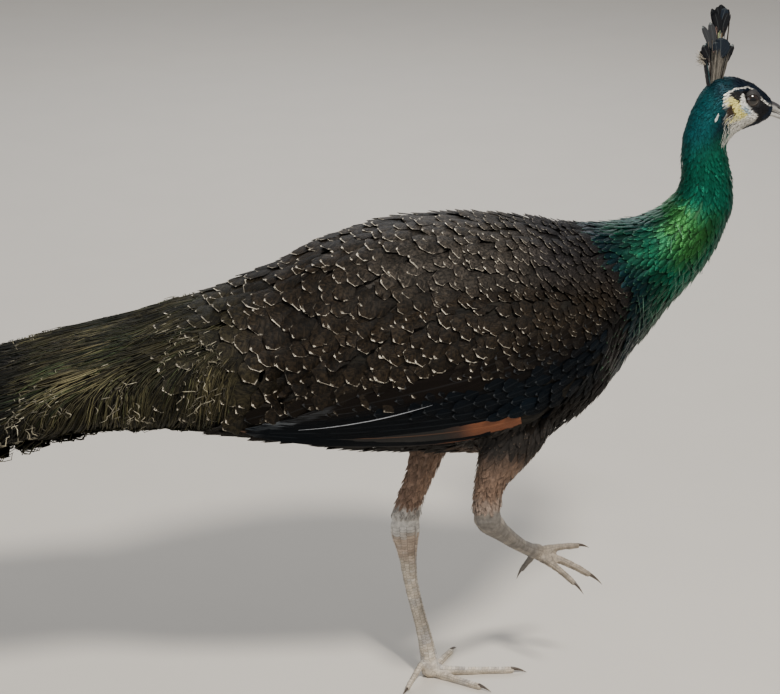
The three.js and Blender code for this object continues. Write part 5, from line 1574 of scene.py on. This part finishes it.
def sweep(rings):
    """Closed quad mesh over K rings of equal size, with its ends drawn to their middles."""
    K, n, _ = rings.shape
    first = rings[0].mean(0) + 0 * rings[0]
    last = rings[-1].mean(0) + 0 * rings[-1]
    R = np.concatenate([[first * 0.98 + rings[0] * 0.02], rings, [last * 0.98 + rings[-1] * 0.02]])
    K += 2
    g = np.arange(K * n).reshape(K, n)
    f = np.concatenate([np.stack([g[:-1, i], g[:-1, (i + 1) % n], g[1:, (i + 1) % n], g[1:, i]], -1) for i in range(n)])
    caps = []
    for row, flip in ((g[0], True), (g[-1], False)):
        for i in range(1, n // 2):
            q = [row[i - 1], row[i], row[n - 1 - i], row[(n - i) % n]] if i > 1 else [row[0], row[1], row[n - 2], row[n - 1]]
            caps.append(q[::-1] if flip else q)
    return R.reshape(-1, 3), np.vstack([f, np.array(caps)]), K


def claws():
    g = Graph("claw_horn")
    tint = g.attr("tint", "Color")
    s, t, own = g.parts(g.attr("vane"))
    streak = g.noise(g.vec(g.math("MULTIPLY", t, 3.0), g.math("MULTIPLY", s, 14.0), own), 1.0, 3.0)
    mat = g.finish(g.scale(tint, g.ramp(streak, 0.3, 0.7, 0.7, 1.3)), g.ramp(streak, 0.3, 0.7, 0.42, 0.3), g.bump(streak, 0.25, 0.0003), **{"Specular IOR Level": 0.5})
    for tag in "lr":
        pts, faces, tint_, vane_, uv_, base_i = [], [], [], [], [], 0
        for foot, k, base, tip, r0, r1, arch, pads, claw in TOES:
            if foot != tag:
                continue
            d = np.array(tip, float) - np.array(base, float)
            if foot == "l":
                d[2] = 0
            d = d / np.linalg.norm(d)
            c0 = np.array(tip) - d * 2.5 + [0, 0, 0.9]
            d3 = d if foot == "r" else np.array([d[0], d[1], 0.0])
            ln, r = claw + 2.5, r1 * 0.62
            s = np.linspace(0, 0.995, 14)
            drop = 0.28 if foot == "l" else 0.35
            rr = np.maximum(r * (1 - s) ** 0.75, 0.22)
            path = c0 + d3 * (ln * s)[:, None]
            path[:, 2] -= drop * s * s * ln
            if foot == "l":
                path[:, 2] = np.maximum(path[:, 2], rr * 0.82)
            ring = tube(path, np.stack([rr * 0.78, rr * 0.98], 1), np.array([0, 0, 1.0]), 12)
            if foot == "l":
                ring[..., 2] = np.maximum(ring[..., 2], 0.02)
            co, f, rows = sweep(ring)
            t = np.repeat(np.concatenate([[0], s, [1]]), 12)
            a = np.tile(np.arange(12) / 12.0, rows)
            pts.append(co)
            faces.append(f + base_i)
            base_i += len(co)
            c = mixc(np.tile((0.060, 0.045, 0.034), (len(co), 1)).astype(float), (0.16, 0.13, 0.10), smooth(t, 0.5, 1.0))
            tint_.append(np.concatenate([c, np.zeros((len(co), 1))], 1))
            vane_.append(np.stack([a * 2 - 1, t, np.full(len(co), k * 0.21)], 1))
            uv_.append(np.stack([(k - 1 + 0.1 + 0.8 * a) / 4, 0.05 + 0.9 * t], 1))
        add_piece("claws_" + tag, np.vstack(pts), np.vstack(faces), mat, np.vstack(tint_), np.vstack(vane_), np.vstack(uv_),
                  ["claw_%s_%d" % (tag, k) for k in (1, 2, 3, 4)])


# ------------------------------------------------------------------ bill, eyes and face
def cubic(table, n):
    """Smooth rows through a table (Catmull-Rom)."""
    T = np.asarray(table, float)
    T = np.vstack([2 * T[0] - T[1], T, 2 * T[-1] - T[-2]])
    u = np.linspace(0, len(T) - 3 - 1e-6, n)
    i = u.astype(int)
    t = (u - i)[:, None]
    a, b, c, d = T[i], T[i + 1], T[i + 2], T[i + 3]
    return 0.5 * (2 * b + (c - a) * t + (2 * a - 5 * b + 4 * c - d) * t ** 2 + (3 * b - a - 3 * c + d) * t ** 3)


def bill():
    g = Graph("bill_horn")
    tint = g.attr("tint", "Color")
    place = g.t.nodes.new("ShaderNodeTexCoord").outputs["Object"]
    fine = g.noise(g.node("Mapping", {}, {"Vector": place, "Scale": (0.35, 1.0, 1.0)}), 900.0, 4.0, 0.6)
    mat = g.finish(g.scale(tint, g.ramp(fine, 0.3, 0.7, 0.82, 1.14)), g.ramp(fine, 0.3, 0.7, 0.42, 0.32), g.bump(fine, 0.2, 0.0003), **{"Specular IOR Level": 0.5})
    upper = [(336.0, 647.6, 336.0, 637.0, 6.6), (340.0, 647.2, 340.0, 636.8, 6.8), (344.6, 646.0, 344.6, 636.2, 6.6), (349.5, 643.6, 350.0, 634.4, 6.1), (354.6, 640.2, 354.6, 631.8, 5.2),
             (359.4, 636.0, 358.8, 629.4, 4.0), (363.4, 631.4, 362.2, 627.0, 2.7), (366.0, 626.4, 364.4, 624.4, 1.1)]
    lower = [(336.0, 637.4, 336.0, 631.0, 5.6), (340.0, 636.4, 340.0, 630.6, 5.8), (344.6, 635.6, 344.6, 630.2, 5.8), (350.0, 633.8, 349.4, 628.4, 5.2), (354.4, 631.4, 353.8, 626.8, 4.2),
             (358.4, 629.0, 357.8, 625.4, 3.0), (361.4, 626.8, 361.0, 624.8, 1.3)]
    for name, table in (("bill_upper", upper), ("bill_lower", lower)):
        T = cubic(table, 34)
        n = 40
        a = 2 * np.pi * np.arange(n) / n
        ca, sa = np.cos(a), np.sin(a)
        power = 0.82
        cx = np.sign(ca) * np.abs(ca) ** power
        sz = np.sign(sa) * np.abs(sa) ** (1.0 if name == "bill_upper" else 0.9)
        top, low = T[:, :2], T[:, 2:4]
        mid, half = (top + low) / 2, (top - low) / 2
        ring = np.zeros((len(T), n, 3))
        ring[:, :, 0] = mid[:, 0:1] + half[:, 0:1] * sz
        ring[:, :, 2] = mid[:, 1:2] + half[:, 1:2] * sz
        # narrower towards the ridge of the culmen
        taper = np.where(sz > 0, 1 - 0.30 * sz ** 1.5, 1.0) if name == "bill_upper" else np.where(sz < 0, 1 - 0.25 * np.abs(sz), 1.0)
        ring[:, :, 1] = T[:, 4:5] * cx * taper
        if name == "bill_upper":
            # nostril: a slanting slot under a raised lid, on each side
            q = ring[:, :, [0, 2]] - np.array([350.6, 639.4])
            ax = np.array([0.86, -0.51])
            al, ac = q @ ax, q @ np.array([0.51, 0.86])
            hole = np.exp(-((al / 2.5) ** 2 + (ac / 0.85) ** 2) ** 1.5)
            lid = np.exp(-((al / 3.4) ** 2 + ((ac - 1.5) / 1.0) ** 2))
            sgn = np.sign(ring[:, :, 1])
            ring[:, :, 1] += sgn * (-1.5 * hole + 0.5 * lid) * (np.abs(ring[:, :, 1]) > 1.5)
        co, f, rows = sweep(ring)
        x, y, z = co.T
        c = mixc(np.tile((0.34, 0.33, 0.31), (len(co), 1)).astype(float), (0.46, 0.43, 0.38), smooth(x, 350, 362))
        if name == "bill_upper":
            ridge = np.interp(x, T[:, 0], T[:, 1])
            base = np.interp(x, T[:, 2], T[:, 3])
            h = (z - base) / np.maximum(ridge - base, 0.5)
            c = mixc(c, (0.030, 0.028, 0.030), smooth(h + 0.05 * wander(co, 2.0), 0.42, 0.80) * smooth(x, 364, 350))
            c = mixc(c, (0.10, 0.09, 0.085), smooth(x, 358, 366) * 0.5)
            # the nostril slot darkened to near black: painted shade in its recess
            hh = np.exp(-((((co[:, [0, 2]] - [350.6, 639.4]) @ [0.86, -0.51]) / 2.4) ** 2 + (((co[:, [0, 2]] - [350.6, 639.4]) @ [0.51, 0.86]) / 0.8) ** 2))
            c = mixc(c, (0.012, 0.010, 0.010), smooth(hh, 0.3, 0.75))
        else:
            c = mixc(c, (0.20, 0.19, 0.18), smooth(z, 632, 627) * 0.5)
        tint_ = np.concatenate([c, np.zeros((len(co), 1))], 1)
        row = np.repeat(np.arange(rows) / (rows - 1), n)
        uv = np.stack([0.03 + 0.94 * np.tile(np.arange(n) / n, rows), 0.03 + 0.94 * row], 1)
        add_piece(name + "_horn", co, f, mat, tint_, np.stack([uv[:, 0], uv[:, 1], 0 * uv[:, 0]], 1), uv, [name])


EYE = np.array([319.0, 9.6, 652.0])


def eyes():
    g = Graph("eye_wet")
    mat = g.finish(g.attr("tint", "Color"), 0.10, **{"Specular IOR Level": 0.4, "Coat Weight": 0.6, "Coat Roughness": 0.04})
    g = Graph("eyelids")
    tint = g.attr("tint", "Color")
    place = g.t.nodes.new("ShaderNodeTexCoord").outputs["Object"]
    fine = g.noise(place, 1500.0, 4.0, 0.6)
    lid = g.finish(g.scale(tint, g.ramp(fine, 0.3, 0.7, 0.7, 1.25)), g.ramp(fine, 0.3, 0.7, 0.6, 0.45), g.bump(fine, 0.5, 0.0004))
    R = 9.1
    nu, nv = 48, 22
    for tag, side in (("l", 1), ("r", -1)):
        c = EYE * [1, side, 1]
        th = np.linspace(0.02, 1.35, nv)
        ph = 2 * np.pi * np.arange(nu) / nu
        bulge = R + 0.35 * np.exp(-(th / 0.5) ** 2)
        ring = np.stack([bulge[:, None] * np.sin(th)[:, None] * np.cos(ph), np.broadcast_to((bulge * np.cos(th))[:, None] * side, (nv, nu)),
                         bulge[:, None] * np.sin(th)[:, None] * np.sin(ph)], -1)[::-1] + c
        if side < 0:
            ring = ring[:, ::-1]
        co, f, rows = sweep(ring)
        rel = unit(co - c)
        ang = np.arccos(np.clip(rel[:, 1] * side, -1, 1))
        rad = R * np.sin(ang)
        around = np.arctan2(rel[:, 2], rel[:, 0])
        fibre = 0.5 + 0.5 * np.sin(around * 31 + 2 * np.sin(around * 7)) * np.sin(rad * 2.2)
        col = mixc(np.tile((0.018, 0.009, 0.005), (len(co), 1)).astype(float), (0.010, 0.005, 0.003), fibre)
        col = mixc(col, (0.0015, 0.0013, 0.0012), smooth(rad, 3.6, 3.2))
        col = mixc(col, (0.006, 0.004, 0.003), smooth(rad, 5.8, 6.6))
        row = np.repeat(np.arange(rows) / (rows - 1), nu)
        uv = np.stack([0.03 + 0.94 * np.tile(np.arange(nu) / nu, rows), 0.03 + 0.94 * row], 1)
        add_piece("eyeball_" + tag, co, f, mat, np.concatenate([col, np.zeros((len(co), 1))], 1), None, uv, ["eye_" + tag])
        # lids: a soft rolled rim round the eye, a little pointed fore and aft
        prof = np.array([(6.9, -0.9), (6.7, 0.10), (6.9, 0.60), (7.4, 0.80), (8.0, 0.60), (8.7, 0.05), (9.4, -0.9), (10.0, -2.6), (8.8, -3.2), (7.4, -2.4)])
        rows_ = []
        for k in range(64):
            a = 2 * np.pi * k / 64
            almond = 1 + 0.05 * np.cos(2 * a) - 0.02
            e = np.array([math.cos(a), 0, math.sin(a)])
            pr = prof.copy()
            pr[:, 0] *= np.where(prof[:, 0] < 8.4, almond, 1.0)
            crease = 0.10 * math.sin(9 * a) + 0.06 * math.sin(23 * a)
            y = np.sqrt(np.maximum(R ** 2 - np.minimum(pr[:, 0], 8.0) ** 2, 0)) + pr[:, 1] + crease * (pr[:, 0] > 6.2)
            rows_.append(c + e * pr[:, 0:1] + np.array([0, side, 0]) * y[:, None])
        G = np.array(rows_)
        n, m = G.shape[:2]
        idx = np.arange(n * m).reshape(n, m)
        f = np.concatenate([np.stack([idx[:, j], np.roll(idx, -1, 0)[:, j], np.roll(idx, -1, 0)[:, (j + 1) % m], idx[:, (j + 1) % m]], -1) for j in range(m)])
        if side > 0:
            f = f[:, ::-1]
        pts = G.reshape(-1, 3)
        prr = np.tile(prof[:, 0], n)
        col = mixc(np.tile((0.012, 0.010, 0.010), (len(pts), 1)).astype(float), (0.13, 0.14, 0.15), smooth(prr, 8.0, 8.6) * smooth(-(pts[:, 0] - 319) * 0.8 - (pts[:, 2] - 652), 1, 6))
        uv = np.stack([np.repeat(np.arange(n) / n, m) * 0.94 + 0.03, np.tile(np.arange(m) / m, n) * 0.94 + 0.03], 1)
        add_piece("eyelids_" + tag, pts, f, lid, np.concatenate([col, np.zeros((len(pts), 1))], 1), None, uv)


def neck_streaks():
    """Thin light hairs over the base of the neck and the shoulder."""
    p, n, _ = FORM.scatter(26000)
    arc, up, _ = spine_at(p)
    edge = np.interp(p[:, 2], [330, 390, 433, 475, 517, 545, 570], [174, 182, 194, 196, 164, 134, 112])
    m = (arc > 200) & (arc < 318) & (p[:, 2] > 430) & (np.abs(n[:, 1]) > 0.74) & (p[:, 0] > edge - 2)
    p = p[m]
    p = p[thin_out(p, np.full(len(p), 6.5))][:700]
    p = p[rng.random(len(p)) < smooth(wander(p, 24.0, 4.0), -0.7, 0.3)]
    N = len(p)
    path, _, roots = surface_paths(FORM, p, 9 + 16 * rng.random(N), 8, 3.4, 3.4, turn=1.12 + 0.16 * rng.normal(size=N))
    hair = Graph("neck_hairs")
    mat = hair.finish(hair.scale(hair.attr("tint", "Color"), hair.ramp(hair.noise(hair.attr("vane"), 9.0, 2.0), 0.35, 0.65, 0.4, 1.25)), 0.45)
    gold = smooth(p[:, 0], 168, 140)[:, None]
    col = (np.array([0.13, 0.27, 0.19]) * (1 - gold) + np.array([0.22, 0.23, 0.19]) * gold) * (0.25 + 0.9 * rng.random((N, 1)) ** 1.6)
    strands("neck_hairs", path, np.tile([0.06, 0.16, 0.24, 0.27, 0.27, 0.24, 0.16, 0.06], (N, 1)), mat, col, spread(unwrap(roots)))


def face():
    """Short bristly feathers on the face and the loose white hairs of the throat."""
    f = FORM
    p, n, _ = f.scatter(60000, (f.co[f.faces[:, 0], 0] > 270) * 1.0 * (f.co[f.faces[:, 0], 2] > 590))
    arc, up, _ = spine_at(p)
    m = (face_share(p) > 0.45) & (arc < 112) & (p[:, 0] < 345)
    eye = np.linalg.norm(p[:, [0, 2]] - EYE[[0, 2]], axis=1)
    m &= eye > 8.3
    p = p[m]
    r = np.interp(p[:, 0], [285, 300, 345], [1.7, 1.35, 1.15])
    k = thin_out(p, r)
    p, r = p[k], r[k]
    mat = feather_material("plumage_face", rough=0.7, spec=0.25, rim=(0.5, 0.48, 0.42), contrast=0.35, stripe=8, slant=3, bump=0.4)
    coat("coat_face", f, p, r * 2.6, r * 0.58, 0.55, mat, "crown", plumage, K=4, M=3, camber=0.3, thick=0.1, ragged=0.15, jitter=0.3, base=0.05, grade=(0.85, 1.08))
    # loose hairs
    p, n, _ = f.scatter(9000, (f.co[f.faces[:, 0], 0] > 280) * 1.0 * (f.co[f.faces[:, 0], 2] > 604) * (f.co[f.faces[:, 0], 2] < 645))
    d = capsule(p[:, [0, 2]], [(300, 632), (297, 620), (293, 612)], [8, 7, 3])
    p = p[(d < 0)]
    p = p[thin_out(p, np.full(len(p), 1.9))][:260]
    N = len(p)
    path, _, roots = surface_paths(f, p, 5.5 + 4 * rng.random(N), 6, 0.3, 1.6, turn=0.25 * rng.normal(size=N))
    hair = Graph("throat_hairs")
    mat = hair.finish(hair.scale(hair.attr("tint", "Color"), hair.ramp(hair.noise(hair.attr("vane"), 9.0, 2.0), 0.3, 0.7, 0.8, 1.15)), 0.6)
    col = np.tile((0.62, 0.60, 0.54), (N, 1)) * (0.6 + 0.5 * rng.random((N, 1)))
    strands("throat_hairs", path, np.tile([0.22, 0.22, 0.2, 0.17, 0.12, 0.05], (N, 1)), mat, col, spread(unwrap(roots)))


def main():
    global FORM, SKIN
    studio()
    label_tree(COATED + TRAIN)
    # helper surface over everything that carries short feathers
    co, faces = remeshed(COATED + TRAIN, 0.004, 0.0006, 8)
    mm = co / MM - np.array([X0, 0, 0])
    n = point_normals(mm, faces)
    mm = mm - n * (np.minimum(coat_depth(mm), 3.2) * 0.85)[:, None]
    FORM = Form(mm, faces)
    skin, sf = skin_piece()
    SKIN = Form(skin, sf)
    tint = np.concatenate([plumage(skin), np.zeros((len(skin), 1))], 1)
    g = Graph("skin_hide")
    place = g.t.nodes.new("ShaderNodeTexCoord").outputs["Object"]
    grain = g.noise(place, 900.0, 3.0)
    pores = g.noise(place, 260.0, 4.0, 0.6)
    colour = g.scale(g.attr("tint", "Color"), g.ramp(pores, 0.3, 0.7, 0.72, 1.2))
    mat = g.finish(colour, g.ramp(grain, 0.3, 0.7, 0.62, 0.8), g.bump(grain, 0.35, 0.0006))
    uv = skin_uv(skin, sf)
    add_piece("skin", skin, sf, mat, tint, None, uv, [n for n in FLESH])
    body_coat()
    wings()
    train()
    crest()
    legs()
    bill()
    eyes()
    face()
    neck_streaks()


main()
print("triangles", dict(PIECES), sum(t for _, t in PIECES))
